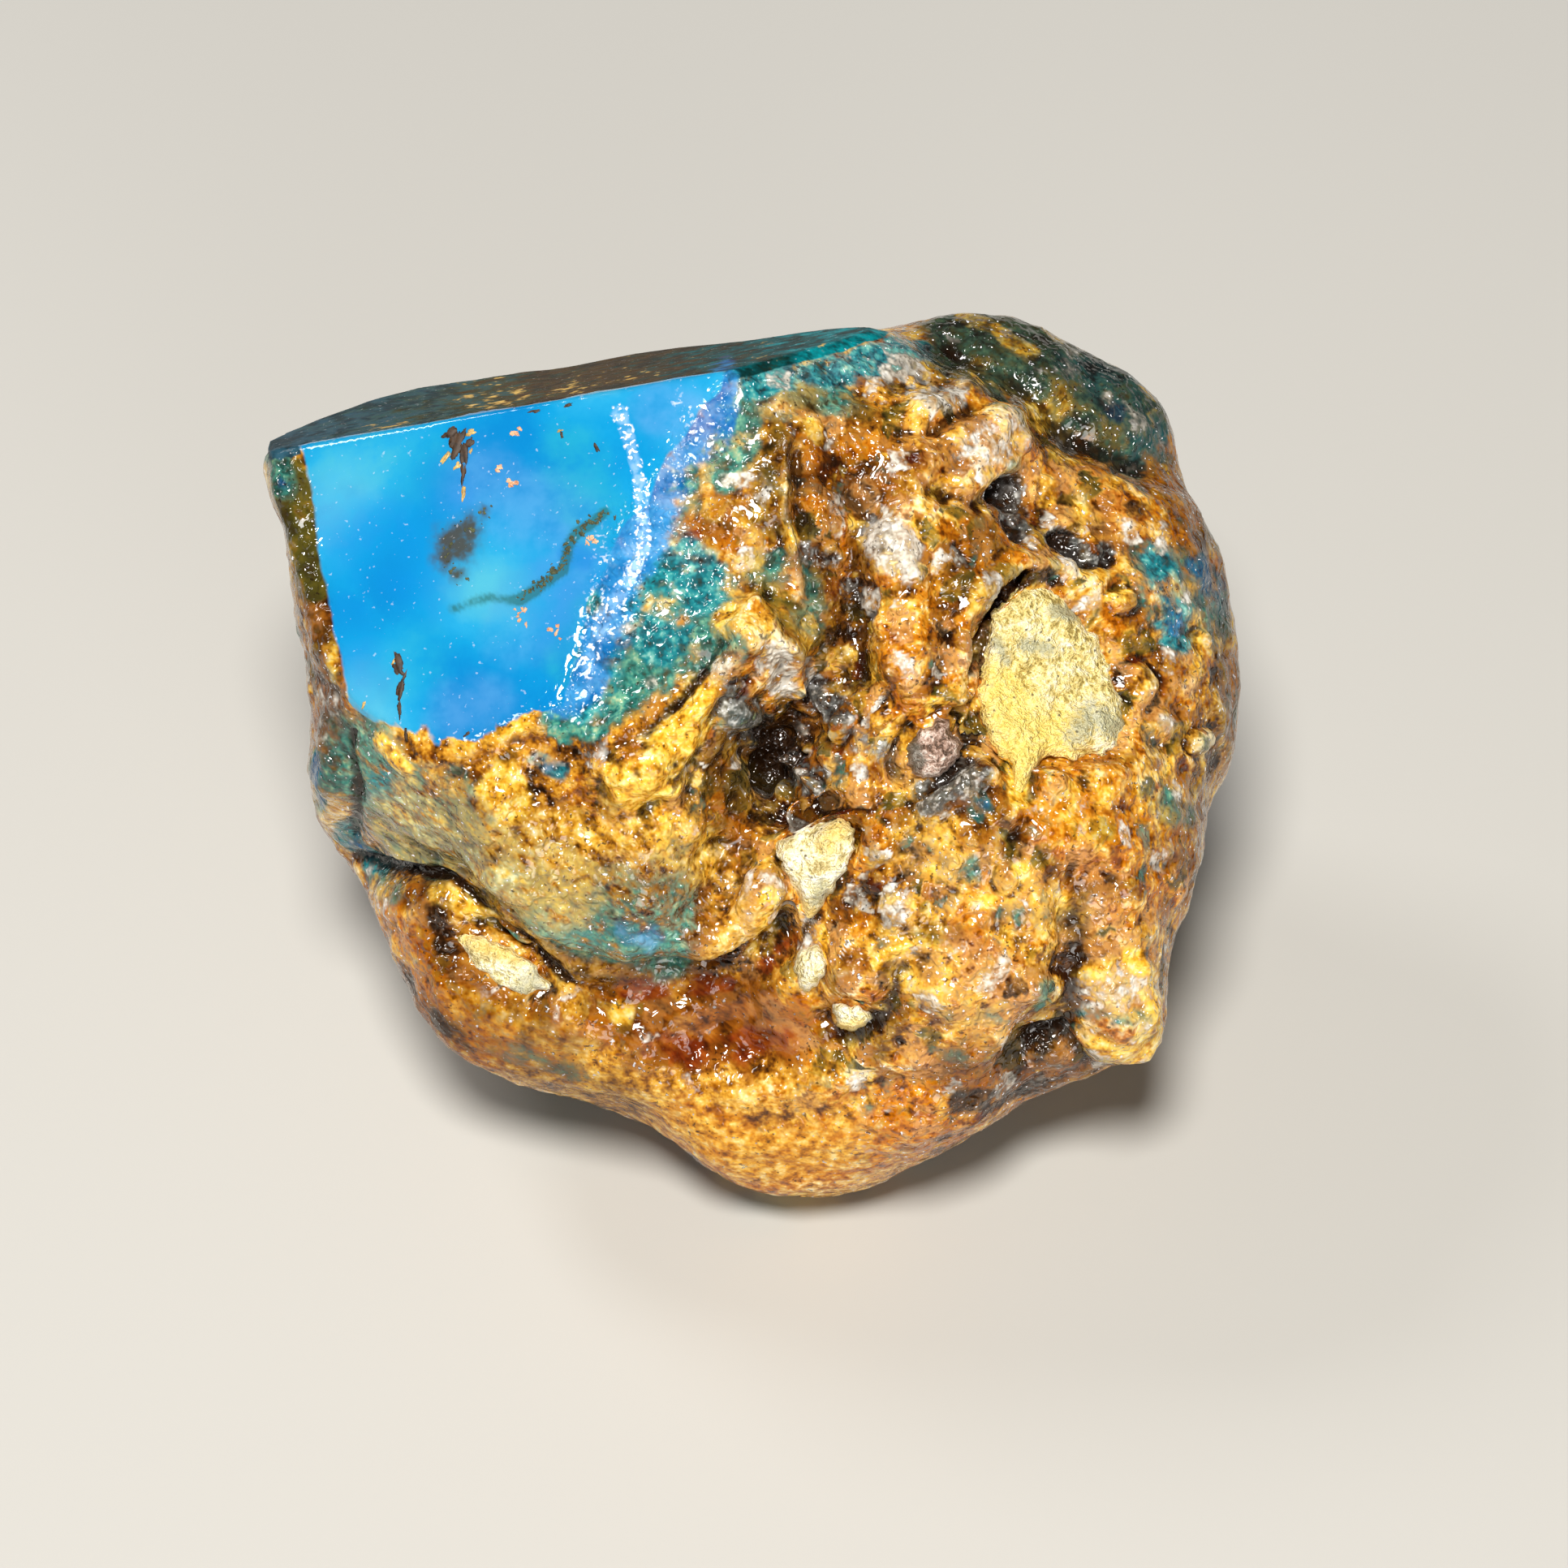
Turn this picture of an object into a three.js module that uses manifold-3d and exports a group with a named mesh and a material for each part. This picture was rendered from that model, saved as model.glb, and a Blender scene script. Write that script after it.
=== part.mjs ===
// Rough blue amber: one nugget in its weathered crust, with two sawn and polished faces, and the pale
// clasts of host rock that are still lodged in the crust. Millimetres, +Z up, resting on the worn flat
// of its underside, with the origin under the middle of its bounding box.
//
// The nugget is shaped in the frame of its display face: x to the right, y up the face, z out of it.
// The whole stone then leans back until its underside is level.

import * as THREE from 'three';
import { ImprovedNoise } from 'three/addons/math/ImprovedNoise.js';
import { mergeVertices } from 'three/addons/utils/BufferGeometryUtils.js';
import Module from 'manifold-3d';

const wasm = await Module();
wasm.setup();

// Driving dimensions
const LEAN = THREE.MathUtils.degToRad(40); // how far the display face leans back from upright
const FRONT_DEPTH = 20; // middle of the stone to the front of the uncut lump
const BACK_DEPTH = 16; // middle of the stone to the back of the uncut lump
const SQUARENESS = 3.8; // exponent of the lump's section: 2 is an ellipse, higher is squarer
const BASE_DROP = 14.6; // middle of the stone down to the flat it rests on
const SOCKET_GAP = 0.3; // clearance between a clast and its socket
const RELIEF_FADE = 4; // the forms of the display face fade out over this depth in front of the middle
const CLAST_BUMPS = { height: 0.16, frequency: 1.9 }; // unevenness of a clast, as a share of its size
const SAW_BLOCK = 120; // side of the block that a saw cut takes away, larger than the stone

// Fineness of the shapes
const MESH_DETAIL = 17; // subdivisions of each icosahedron edge on the nugget
const FRONT_BIAS = 0.22; // pulls the mesh's vertices towards the display face, where the detail is
const OUTLINE_STEPS = 720; // points along the outline
const LINE_STEPS = 40; // points along a ridge or a crease
const NEAR = 0.001; // how closely a point on the surface is found
const SAME = 1e-5; // vertices closer together than this are one

// Outline of the display face, anticlockwise from its right-hand side
const OUTLINE = [
  [21.9, 1.1], [22.4, 5.2], [20.9, 9.3], [19.2, 12.6], [18.3, 16.2], [15.2, 19.0],
  [12.2, 20.0], [9.3, 20.5], [7.0, 20.0], [0.0, 18.9], [-6.7, 18.2], [-14.1, 17.3],
  [-18.9, 15.9], [-21.6, 14.2], [-22.2, 12.6], [-21.2, 8.9], [-20.1, 4.8], [-20.4, 0.0],
  [-20.3, -3.2], [-18.7, -6.1], [-16.7, -9.6], [-14.7, -12.6], [-11.1, -14.4], [-8.2, -15.3],
  [-4.8, -17.6], [-1.5, -19.9], [2.2, -20.1], [6.3, -18.9], [10.8, -16.5], [14.5, -15.0],
  [16.4, -12.9], [18.0, -10.3], [19.0, -6.6], [20.4, -3.0],
];

// Broken faces of the lump: direction they face, distance from the middle, rounding of their edges
const BROKEN_FACES = [
  { name: 'front', faces: [0.10, 0.00, 0.99], distance: 13.7, rounding: 2 },
  { name: 'left lobe', faces: [-0.05, -0.30, 0.93], distance: 13.3, rounding: 1.5 },
  { name: 'right', faces: [0.72, 0.05, 0.69], distance: 18.4, rounding: 4 },
  { name: 'upper right', faces: [0.45, 0.62, 0.64], distance: 19.3, rounding: 3 },
  { name: 'belly', faces: [0.10, -0.70, 0.70], distance: 17.0, rounding: 4 },
  { name: 'lower left', faces: [-0.55, -0.50, 0.67], distance: 16.9, rounding: 3 },
  { name: 'lower right', faces: [0.50, -0.50, 0.70], distance: 19.0, rounding: 4 },
  { name: 'back', faces: [0.05, 0.10, -0.99], distance: 13.2, rounding: 4 },
  { name: 'back right', faces: [0.68, 0.12, -0.72], distance: 16.0, rounding: 3 },
  { name: 'back left', faces: [-0.66, 0.28, -0.70], distance: 16.4, rounding: 3 },
  { name: 'back top', faces: [0.15, 0.74, -0.65], distance: 16.4, rounding: 3 },
  { name: 'under left', faces: [-0.60, -0.55, -0.58], distance: 15.6, rounding: 3 },
  { name: 'under right', faces: [0.58, -0.60, -0.55], distance: 16.8, rounding: 3 },
].map((face) => ({ ...face, faces: new THREE.Vector3(...face.faces).normalize() }));

// Sawn and polished faces: direction they face, and a point that the saw cut passes through
const POLISHED_WINDOW = { faces: [-0.22, 0.20, 0.955], through: [-5.9, 10.4, 13.2] };
const POLISHED_TOP = { faces: [-0.19, 0.968, 0.165], through: [-6.7, 18.1, -1.0] };

// Rounded lumps (positive height) and hollows (negative height) of the display face
const SWELLINGS = [
  { name: 'left lobe', at: [-8.6, -5.6], reach: 4.0, height: 0.9 },
  { name: 'ledge under the window', at: [-11.9, -1.6], reach: 1.8, height: 0.4 },
  { name: 'bright ledge', at: [-5.0, -0.6], reach: 2.0, height: 0.4 },
  { name: 'hollow under the fold', at: [-3.0, -13.0], reach: 4.5, height: -1.6 },
  { name: 'lower lip', at: [-13.6, -10.6], reach: 4.0, height: 0.9 },
  { name: 'cave', at: [1.3, -0.6], reach: 2.3, height: -2.4 },
  { name: 'bulge', at: [8.5, -11.1], reach: 3.5, height: 0.9 },
  { name: 'knob', at: [15.6, -11.6], reach: 3.0, height: 0.9 },
  { name: 'upper pit', at: [11.6, 11.6], reach: 1.4, height: -1.4 },
  { name: 'right pit', at: [14.7, 9.7], reach: 1.5, height: -1.2 },
  { name: 'upper block', at: [10.5, 14.4], reach: 3.0, height: 0.9 },
];

// Ridges (positive height) and creases (negative height) that run along a line on the display face
const FOLD_LINES = [
  { name: 'arm', along: [[-6.2, -0.8], [-4.0, 0.8], [-2.0, 2.8], [0.2, 5.2]], reach: 1.5, height: 1.0 },
  {
    name: 'fold',
    along: [[-19.8, -4.6], [-14.1, -6.2], [-9.3, -9.8], [-5.2, -11.1], [-1.5, -10.6], [3.3, -7.0]],
    reach: 1.4,
    height: -2.4,
  },
  { name: 'crevice', along: [[2.4, 3.2], [0.7, 1.1], [0.0, -1.5], [-1.9, -6.3]], reach: 1.4, height: -2.0 },
  { name: 'knob ridge', along: [[15.2, -6.5], [15.9, -11.5]], reach: 1.9, height: 0.7 },
  {
    name: 'knob groove',
    along: [[14.0, -5.9], [13.8, -9.3], [12.8, -11.9], [11.5, -13.7]],
    reach: 1.2,
    height: -1.8,
  },
  {
    name: 'shoulder',
    along: [[9.1, 18.4], [11.5, 15.9], [14.5, 14.8], [17.8, 13.7]],
    reach: 1.3,
    height: -1.0,
  },
  { name: 'upright block', along: [[6.3, 10.2], [6.3, 3.7]], reach: 1.6, height: 0.9 },
  { name: 'block groove', along: [[4.4, 10.8], [4.5, 3.6]], reach: 1.1, height: -1.0 },
].map((line) => ({ ...line, points: curvePoints(line.along) }));

// General lumpiness of the crust: wavelength and height of each layer
const LUMPINESS = [
  { wavelength: 9.0, height: 0.9 },
  { wavelength: 4.2, height: 0.45 },
];

// Clasts of host rock: place on the display face, half sizes across, along and into the crust, turn in
// the face in degrees, how far they stand out of the crust, and the fineness of their mesh
const CLASTS = [
  {
    name: 'clast_large', at: [13.0, 3.6], half: [3.8, 4.5, 2.6], turn: 10, proud: 1.4,
    detail: 4, colour: 0xe6d69a,
  },
  {
    name: 'clast_middle', at: [2.7, -4.7], half: [1.6, 2.4, 1.7], turn: -12, proud: 0.9,
    detail: 3, colour: 0xf0e6b4,
  },
  {
    name: 'clast_in_fold', at: [-12.0, -9.4], half: [2.6, 1.3, 1.5], turn: -38, proud: 0.9,
    detail: 3, colour: 0xe4d79a,
  },
  {
    name: 'clast_small', at: [2.2, -9.5], half: [0.75, 1.1, 1.0], turn: -15, proud: 0.6,
    detail: 2, colour: 0xeee4b8,
  },
  {
    name: 'clast_in_pit', at: [3.9, -11.9], half: [0.9, 0.75, 0.9], turn: 20, proud: 0.5,
    detail: 2, colour: 0xcabf8c,
  },
  {
    name: 'brown_pebble', at: [7.5, 0.3], half: [1.9, 1.2, 1.4], turn: 32, proud: 0.8,
    detail: 3, colour: 0x8d6c48,
  },
];

const CRUST = { color: 0xb8833c, roughness: 0.45, metalness: 0 };
const ROCK_ROUGHNESS = 0.8;

const noise = new ImprovedNoise();
const outlineRadius = polarLookup(curvePoints(OUTLINE, true));

// Points spread evenly along a smooth curve through the given corners
function curvePoints(corners, closed = false) {
  const curve = new THREE.CatmullRomCurve3(corners.map(([x, y]) => new THREE.Vector3(x, y, 0)), closed);
  return curve.getSpacedPoints(closed ? OUTLINE_STEPS : LINE_STEPS);
}

// The distance of a closed outline from the middle, as a function of the angle round the middle
function polarLookup(points) {
  const rows = points.map((p) => [Math.atan2(p.y, p.x), Math.hypot(p.x, p.y)]);
  rows.sort((a, b) => a[0] - b[0]);
  return (angle) => {
    const next = rows.findIndex((row) => row[0] >= angle);
    const after = rows[next < 0 ? 0 : next];
    const before = rows.at(next < 0 ? -1 : next - 1);
    const span = after[0] - before[0] || 1;
    const share = THREE.MathUtils.clamp((angle - before[0]) / span, 0, 1);
    return THREE.MathUtils.lerp(before[1], after[1], share);
  };
}

// The smaller of two distances, with the corner between them rounded off
function roundedMin(a, b, rounding) {
  const overlap = Math.max(rounding - Math.abs(a - b), 0) / rounding;
  return Math.min(a, b) - (overlap * overlap * rounding) / 4;
}

// The uncut lump: the outline swelled out to the front and the back
function lumpRadius(direction) {
  const across = Math.hypot(direction.x, direction.y);
  const outline = outlineRadius(Math.atan2(direction.y, direction.x));
  const depth = direction.z > 0 ? FRONT_DEPTH : BACK_DEPTH;
  const flatness = (across / outline) ** SQUARENESS + (Math.abs(direction.z) / depth) ** SQUARENESS;
  return flatness ** (-1 / SQUARENESS);
}

// How much a lump, crease or ridge adds at a distance from its middle
function bell(distance, { reach, height }) {
  return height * Math.exp(-((distance / reach) ** 2));
}

// The relief of the surface at a point: the display face's own forms, and lumpiness all over
function relief(point) {
  const flat = new THREE.Vector3(point.x, point.y, 0);
  let form = 0;
  for (const swelling of SWELLINGS) {
    form += bell(Math.hypot(point.x - swelling.at[0], point.y - swelling.at[1]), swelling);
  }
  for (const line of FOLD_LINES) {
    form += bell(Math.min(...line.points.map((p) => p.distanceTo(flat))), line);
  }
  let lumps = 0;
  for (const { wavelength, height } of LUMPINESS) {
    const at = point.clone().divideScalar(wavelength);
    lumps += height * noise.noise(at.x, at.y, at.z);
  }
  return form * THREE.MathUtils.smoothstep(point.z, 0, RELIEF_FADE) + lumps;
}

// The nugget's surface along a direction from its middle, before it is sawn
function surfacePoint(direction) {
  let radius = lumpRadius(direction);
  for (const face of BROKEN_FACES) {
    const along = direction.dot(face.faces);
    if (along > 0) radius = roundedMin(radius, face.distance / along, face.rounding);
  }
  const point = direction.clone().multiplyScalar(radius);
  return direction.clone().multiplyScalar(radius + relief(point));
}

// The point of the surface that is seen at a place on the display face, closed in on by halving
function facePoint(x, y) {
  let inside = 0;
  let outside = 2 * FRONT_DEPTH;
  while (outside - inside > NEAR) {
    const point = new THREE.Vector3(x, y, (inside + outside) / 2);
    const within = point.length() < surfacePoint(point.clone().normalize()).length();
    if (within) inside = point.z;
    else outside = point.z;
  }
  return new THREE.Vector3(x, y, inside);
}

// A closed sphere of triangles with shared vertices
function ball(detail) {
  const sphere = new THREE.IcosahedronGeometry(1, detail);
  sphere.deleteAttribute('normal');
  sphere.deleteAttribute('uv');
  return mergeVertices(sphere, SAME);
}

// Moves each vertex of a geometry to where a function puts it
function reshape(geometry, place) {
  const position = geometry.getAttribute('position');
  const vertex = new THREE.Vector3();
  for (let i = 0; i < position.count; i++) {
    position.setXYZ(i, ...place(vertex.fromBufferAttribute(position, i)).toArray());
  }
  return geometry;
}

function toSolid(geometry) {
  return new wasm.Manifold(new wasm.Mesh({
    numProp: 3,
    vertProperties: new Float32Array(geometry.getAttribute('position').array),
    triVerts: new Uint32Array(geometry.index.array),
  }));
}

function toGeometry(solid) {
  const { vertProperties, triVerts } = solid.getMesh();
  const geometry = new THREE.BufferGeometry();
  geometry.setAttribute('position', new THREE.BufferAttribute(vertProperties, 3));
  geometry.setIndex(new THREE.BufferAttribute(triVerts, 1));
  geometry.computeVertexNormals();
  return geometry;
}

// Everything beyond a plane, as a block that a saw cut takes away
function beyond({ faces, through }) {
  const block = new THREE.BoxGeometry(SAW_BLOCK, SAW_BLOCK, SAW_BLOCK);
  block.deleteAttribute('normal');
  block.deleteAttribute('uv');
  block.translate(0, 0, SAW_BLOCK / 2);
  const normal = new THREE.Vector3(...faces).normalize();
  block.applyQuaternion(new THREE.Quaternion().setFromUnitVectors(new THREE.Vector3(0, 0, 1), normal));
  block.translate(...through);
  return toSolid(mergeVertices(block, SAME));
}

// The direction out of the crust at a clast, from the lie of the surface round its edge
function outward([x, y], [across, along]) {
  const side = facePoint(x + across, y).sub(facePoint(x - across, y));
  const upward = facePoint(x, y + along).sub(facePoint(x, y - along));
  return side.cross(upward).normalize();
}

// A clast: a lumpy ellipsoid sunk into the crust, grown by a margin for its socket
function clastSolid({ at, half, turn, proud, detail }, margin) {
  const out = outward(at, half);
  const middle = facePoint(...at).addScaledVector(out, proud - half[2]);
  const front = new THREE.Vector3(0, 0, 1);
  const seated = new THREE.Quaternion().setFromUnitVectors(front, out);
  const turned = new THREE.Quaternion().setFromAxisAngle(front, THREE.MathUtils.degToRad(turn));
  const shape = reshape(ball(detail), (v) => {
    const place = v.clone().multiplyScalar(CLAST_BUMPS.frequency);
    const bumps = 1 + CLAST_BUMPS.height * noise.noise(place.x + at[0], place.y + at[1], place.z);
    const grown = new THREE.Vector3(...half).multiplyScalar(bumps).addScalar(margin);
    return v.clone().multiply(grown).applyQuaternion(turned).applyQuaternion(seated).add(middle);
  });
  return toSolid(shape);
}

function nuggetSolid() {
  const forward = new THREE.Vector3(0, 0, FRONT_BIAS);
  const lump = reshape(ball(MESH_DETAIL), (v) => surfacePoint(v.clone().add(forward).normalize()));
  const down = [0, -Math.sin(LEAN), -Math.cos(LEAN)];
  const restingFlat = { faces: down, through: down.map((c) => c * BASE_DROP) };
  let solid = toSolid(lump);
  for (const cut of [POLISHED_WINDOW, POLISHED_TOP, restingFlat]) solid = solid.subtract(beyond(cut));
  for (const clast of CLASTS) solid = solid.subtract(clastSolid(clast, SOCKET_GAP));
  return solid;
}

function namedMesh(name, solid, look) {
  const mesh = new THREE.Mesh(toGeometry(solid), new THREE.MeshStandardMaterial(look));
  mesh.name = name;
  return mesh;
}

const stone = new THREE.Group();
stone.add(namedMesh('amber_nugget', nuggetSolid(), CRUST));
for (const clast of CLASTS) {
  const look = { color: clast.colour, roughness: ROCK_ROUGHNESS, metalness: 0 };
  stone.add(namedMesh(clast.name, clastSolid(clast, 0), look));
}

// Lean the stone back onto its flat, and bring the middle of its box over the origin
stone.rotation.x = LEAN;
const part = new THREE.Group();
part.add(stone);
const box = new THREE.Box3().setFromObject(part, true);
const middle = box.getCenter(new THREE.Vector3());
stone.position.set(-middle.x, -middle.y, -box.min.z);

export default part;
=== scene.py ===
# Looks of the rough blue amber: the nugget in its crust with two polished faces, the clasts of host rock
# lodged in it, and what is sealed in the amber under the polished window.

import math

import bpy
import numpy as np
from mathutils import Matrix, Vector
from mathutils.bvhtree import BVHTree


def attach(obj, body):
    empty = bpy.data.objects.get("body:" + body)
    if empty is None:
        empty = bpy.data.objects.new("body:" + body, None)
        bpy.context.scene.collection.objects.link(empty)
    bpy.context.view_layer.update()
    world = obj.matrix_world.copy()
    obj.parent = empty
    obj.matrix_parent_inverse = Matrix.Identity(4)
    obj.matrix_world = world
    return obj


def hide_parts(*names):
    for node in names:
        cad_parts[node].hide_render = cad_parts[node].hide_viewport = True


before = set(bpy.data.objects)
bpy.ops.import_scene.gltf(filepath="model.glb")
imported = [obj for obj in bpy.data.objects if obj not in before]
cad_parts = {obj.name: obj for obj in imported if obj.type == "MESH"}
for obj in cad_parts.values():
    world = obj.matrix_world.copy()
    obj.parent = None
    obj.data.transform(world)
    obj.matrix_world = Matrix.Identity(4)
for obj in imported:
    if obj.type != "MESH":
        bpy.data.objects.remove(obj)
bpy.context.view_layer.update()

MM = 0.001
RANDOM = np.random.default_rng(11)

# The display face leans back from upright. Its own frame has x to the right, y up the face and z out of
# it, in millimetres, and its middle is here in the world.
LEAN = math.radians(40)
FACE_MIDDLE = np.array([0.24, -0.11, 14.6])
FACE_AXES = np.array([
    [1.0, 0.0, 0.0],
    [0.0, math.cos(LEAN), math.sin(LEAN)],
    [0.0, -math.sin(LEAN), math.cos(LEAN)],
])

# The picture: its side in pixels, the size of a pixel on the display face, the pixel that the middle of
# the face falls on, and how far away the camera stands
PICTURE = 1932
PIXEL = 0.0371
MIDDLE_PIXEL = (940, 930)
CAMERA_DISTANCE = 300.0
SENSOR = 36.0

# The sawn faces, as in the CAD: the direction they face and a point on them, in the display face's frame
WINDOW_FACES = np.array([-0.22, 0.20, 0.955]) / np.linalg.norm([-0.22, 0.20, 0.955])
WINDOW_POINT = np.array([-5.9, 10.4, 13.2])
TOP_FACES = np.array([-0.19, 0.968, 0.165]) / np.linalg.norm([-0.19, 0.968, 0.165])
TOP_POINT = np.array([-6.7, 18.1, -1.0])

# Fineness of the nugget's mesh: squares along each edge of the cube that it is rounded from
NUGGET_SQUARES = 128
FRONT_BIAS = 0.38
SMOOTHING_ROUNDS = 14


# Frames and pictures


def to_face(points):
    """World points in metres, in the display face's frame in millimetres."""
    return (np.asarray(points) / MM - FACE_MIDDLE) @ FACE_AXES.T


def to_world(points):
    """Points of the display face's frame, in world metres."""
    return (np.asarray(points) @ FACE_AXES + FACE_MIDDLE) * MM


def aim_point():
    """The point of the display face's plane that the camera looks straight at."""
    across = (PICTURE / 2 - MIDDLE_PIXEL[0]) * PIXEL
    up = (MIDDLE_PIXEL[1] - PICTURE / 2) * PIXEL
    return np.array([across, up, 0.0])


def eye_point():
    """Where the camera stands, in the display face's frame."""
    return aim_point() + np.array([0.0, 0.0, CAMERA_DISTANCE])


def seen_at(points):
    """The picture's pixels that points of the display face's frame are seen at."""
    offset = points - aim_point()
    scale = CAMERA_DISTANCE / (CAMERA_DISTANCE - offset[:, 2]) / PIXEL
    return np.stack([PICTURE / 2 + offset[:, 0] * scale, PICTURE / 2 - offset[:, 1] * scale], axis=1)


def on_plane(pixel, faces, point):
    """The point of a plane that is seen at a pixel."""
    eye = eye_point()
    target = np.array([(pixel[0] - MIDDLE_PIXEL[0]) * PIXEL, (MIDDLE_PIXEL[1] - pixel[1]) * PIXEL, 0.0])
    ray = target - eye
    return eye + ray * (((point - eye) @ faces) / (ray @ faces))


# Noise and profiles

SHUFFLE = RANDOM.permutation(256)
GRADIENTS = RANDOM.normal(size=(256, 3))
GRADIENTS /= np.linalg.norm(GRADIENTS, axis=1, keepdims=True)


def shuffled(cells):
    """A repeatable number from 0 to 255 for each cell of a lattice."""
    index = SHUFFLE[cells[:, 0] & 255]
    index = SHUFFLE[(index + cells[:, 1]) & 255]
    return SHUFFLE[(index + cells[:, 2]) & 255]


def perlin(points):
    """Smooth noise of about -0.7 to 0.7, one lump to a unit."""
    cell = np.floor(points).astype(int)
    offset = points - cell
    fade = offset**3 * (offset * (offset * 6 - 15) + 10)
    total = np.zeros(len(points))
    for corner in np.ndindex(2, 2, 2):
        gradient = GRADIENTS[shuffled(cell + corner)]
        weight = np.where(corner, fade, 1 - fade).prod(axis=1)
        total += weight * ((offset - corner) * gradient).sum(axis=1)
    return total


def layered(points, wavelength, octaves, gain=0.5):
    """Noise of a wavelength in millimetres, with finer layers of the same noise added."""
    total = np.zeros(len(points))
    for octave in range(octaves):
        total += gain**octave * perlin(points * 2**octave / wavelength + 17.3 * octave)
    return total


def grains(points, size):
    """Cells of a size in millimetres: each point's distance from its cell's middle, in cells, how far it
    is inside its cell's border, and a number of the cell from 0 to 1."""
    scaled = points / size
    cell = np.floor(scaled).astype(int)
    nearest = np.full(len(points), 9.0)
    second = np.full(len(points), 9.0)
    number = np.zeros(len(points))
    for step in np.ndindex(3, 3, 3):
        other = cell + np.array(step) - 1
        index = shuffled(other)
        distance = np.linalg.norm(other + 0.5 + 0.42 * GRADIENTS[index] - scaled, axis=1)
        closer = distance < nearest
        second = np.where(closer, nearest, np.minimum(second, distance))
        number = np.where(closer, index / 255, number)
        nearest = np.minimum(nearest, distance)
    return nearest, second - nearest, number


def smoothstep(low, high, value):
    share = np.clip((value - low) / (high - low), 0, 1)
    return share * share * (3 - 2 * share)


def line_distance(points, line):
    """Distance of points in the picture from a line through some pixels, or from one pixel."""
    corners = np.array(line, float)
    if len(corners) == 1:
        return np.linalg.norm(points - corners[0], axis=1)
    best = np.full(len(points), 1e9)
    for start, end in zip(corners[:-1], corners[1:]):
        along = end - start
        share = np.clip((points - start) @ along / (along @ along), 0, 1)
        best = np.minimum(best, np.linalg.norm(points - start - share[:, None] * along, axis=1))
    return best


def inside_outline(points, outline):
    """How far points in the picture are inside an outline, in pixels: negative outside it."""
    corners = np.array(outline, float)
    crossings = np.zeros(len(points), int)
    for start, end in zip(corners, np.roll(corners, -1, axis=0)):
        spans = (start[1] > points[:, 1]) != (end[1] > points[:, 1])
        rise = end[1] - start[1] if end[1] != start[1] else 1e-9
        at = start[0] + (points[:, 1] - start[1]) / rise * (end[0] - start[0])
        crossings += spans & (points[:, 0] < at)
    distance = line_distance(points, list(outline) + [outline[0]])
    return np.where(crossings % 2 == 1, distance, -distance)


# Meshes


def rounded_cube(squares):
    """Directions spread over a sphere, as a cube of squares blown up round: points and quads."""
    numbers = np.arange(squares + 1)
    first, second = np.meshgrid(numbers, numbers, indexing="ij")
    sides = []
    quads = []
    corner = (numbers[:-1, None] * (squares + 1) + numbers[None, :-1]).ravel()
    loop = np.stack([corner, corner + squares + 1, corner + squares + 2, corner + 1], axis=1)
    for axis in range(3):
        for end in (0, squares):
            side = np.zeros((first.size, 3), int)
            side[:, axis] = end
            side[:, (axis + 1) % 3] = first.ravel()
            side[:, (axis + 2) % 3] = second.ravel()
            quads.append((loop if end else loop[:, ::-1]) + len(sides) * first.size)
            sides.append(side)
    lattice, index = np.unique(np.concatenate(sides), axis=0, return_inverse=True)
    points = np.tan(math.pi / 4 * (2 * lattice / squares - 1))
    points /= np.linalg.norm(points, axis=1, keepdims=True)
    return points, index.ravel()[np.concatenate(quads)]


def edges_of(quads):
    pairs = np.concatenate([quads[:, [i, (i + 1) % 4]] for i in range(4)])
    return np.unique(np.sort(pairs, axis=1), axis=0)


def smoothed(values, edges, rounds, moves=None):
    """Values at vertices, each drawn halfway to the mean of its neighbours, round by round."""
    count = np.bincount(edges.ravel(), minlength=len(values)).reshape(-1, *[1] * (values.ndim - 1))
    weight = 0.5 if moves is None else 0.5 * moves.reshape(count.shape)
    ends = np.concatenate([edges[:, 0], edges[:, 1]])
    others = np.concatenate([edges[:, 1], edges[:, 0]])
    for _ in range(rounds):
        parts = values.reshape(len(values), -1).T
        columns = [np.bincount(ends, part[others], len(values)) for part in parts]
        total = np.stack(columns, axis=1).reshape(values.shape)
        values = values + weight * (total / count - values)
    return values


def normals_of(points, quads):
    corners = points[quads]
    faces = np.cross(corners[:, 2] - corners[:, 0], corners[:, 3] - corners[:, 1])
    total = np.zeros_like(points)
    for i in range(4):
        np.add.at(total, quads[:, i], faces)
    return total / np.maximum(np.linalg.norm(total, axis=1, keepdims=True), 1e-12)


def node_surface(name):
    """A CAD node's surface, ready for rays, in metres."""
    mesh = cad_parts[name].data
    return BVHTree.FromPolygons([v.co for v in mesh.vertices], [p.vertices for p in mesh.polygons])


def cast_onto(surface, middle, directions):
    """The outermost points of a surface in each direction from its middle, in the face's frame."""
    outside = 60.0
    world_middle = Vector(to_world(middle))
    points = np.empty_like(directions)
    for i, away in enumerate(directions @ FACE_AXES):
        ray = Vector(away)
        hit = surface.ray_cast(world_middle + ray * outside * MM, -ray)[0]
        points[i] = to_face(hit if hit else world_middle)
    return points


def make_piece(name, points, polygons, material, masks=None):
    """A piece that rides on the stone, from points in the face's frame, with its masks on its vertices."""
    mesh = bpy.data.meshes.new(name)
    mesh.from_pydata(to_world(points).tolist(), [], [list(polygon) for polygon in polygons])
    mesh.polygons.foreach_set("use_smooth", np.ones(len(mesh.polygons), bool))
    for mask, values in (masks or {}).items():
        attribute = mesh.attributes.new(mask, "FLOAT", "POINT")
        attribute.data.foreach_set("value", values.astype(np.float32))
    mesh.materials.append(material)
    mesh.update()
    piece = bpy.data.objects.new(name, mesh)
    bpy.context.scene.collection.objects.link(piece)
    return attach(piece, "root")


# Shader nodes


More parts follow.
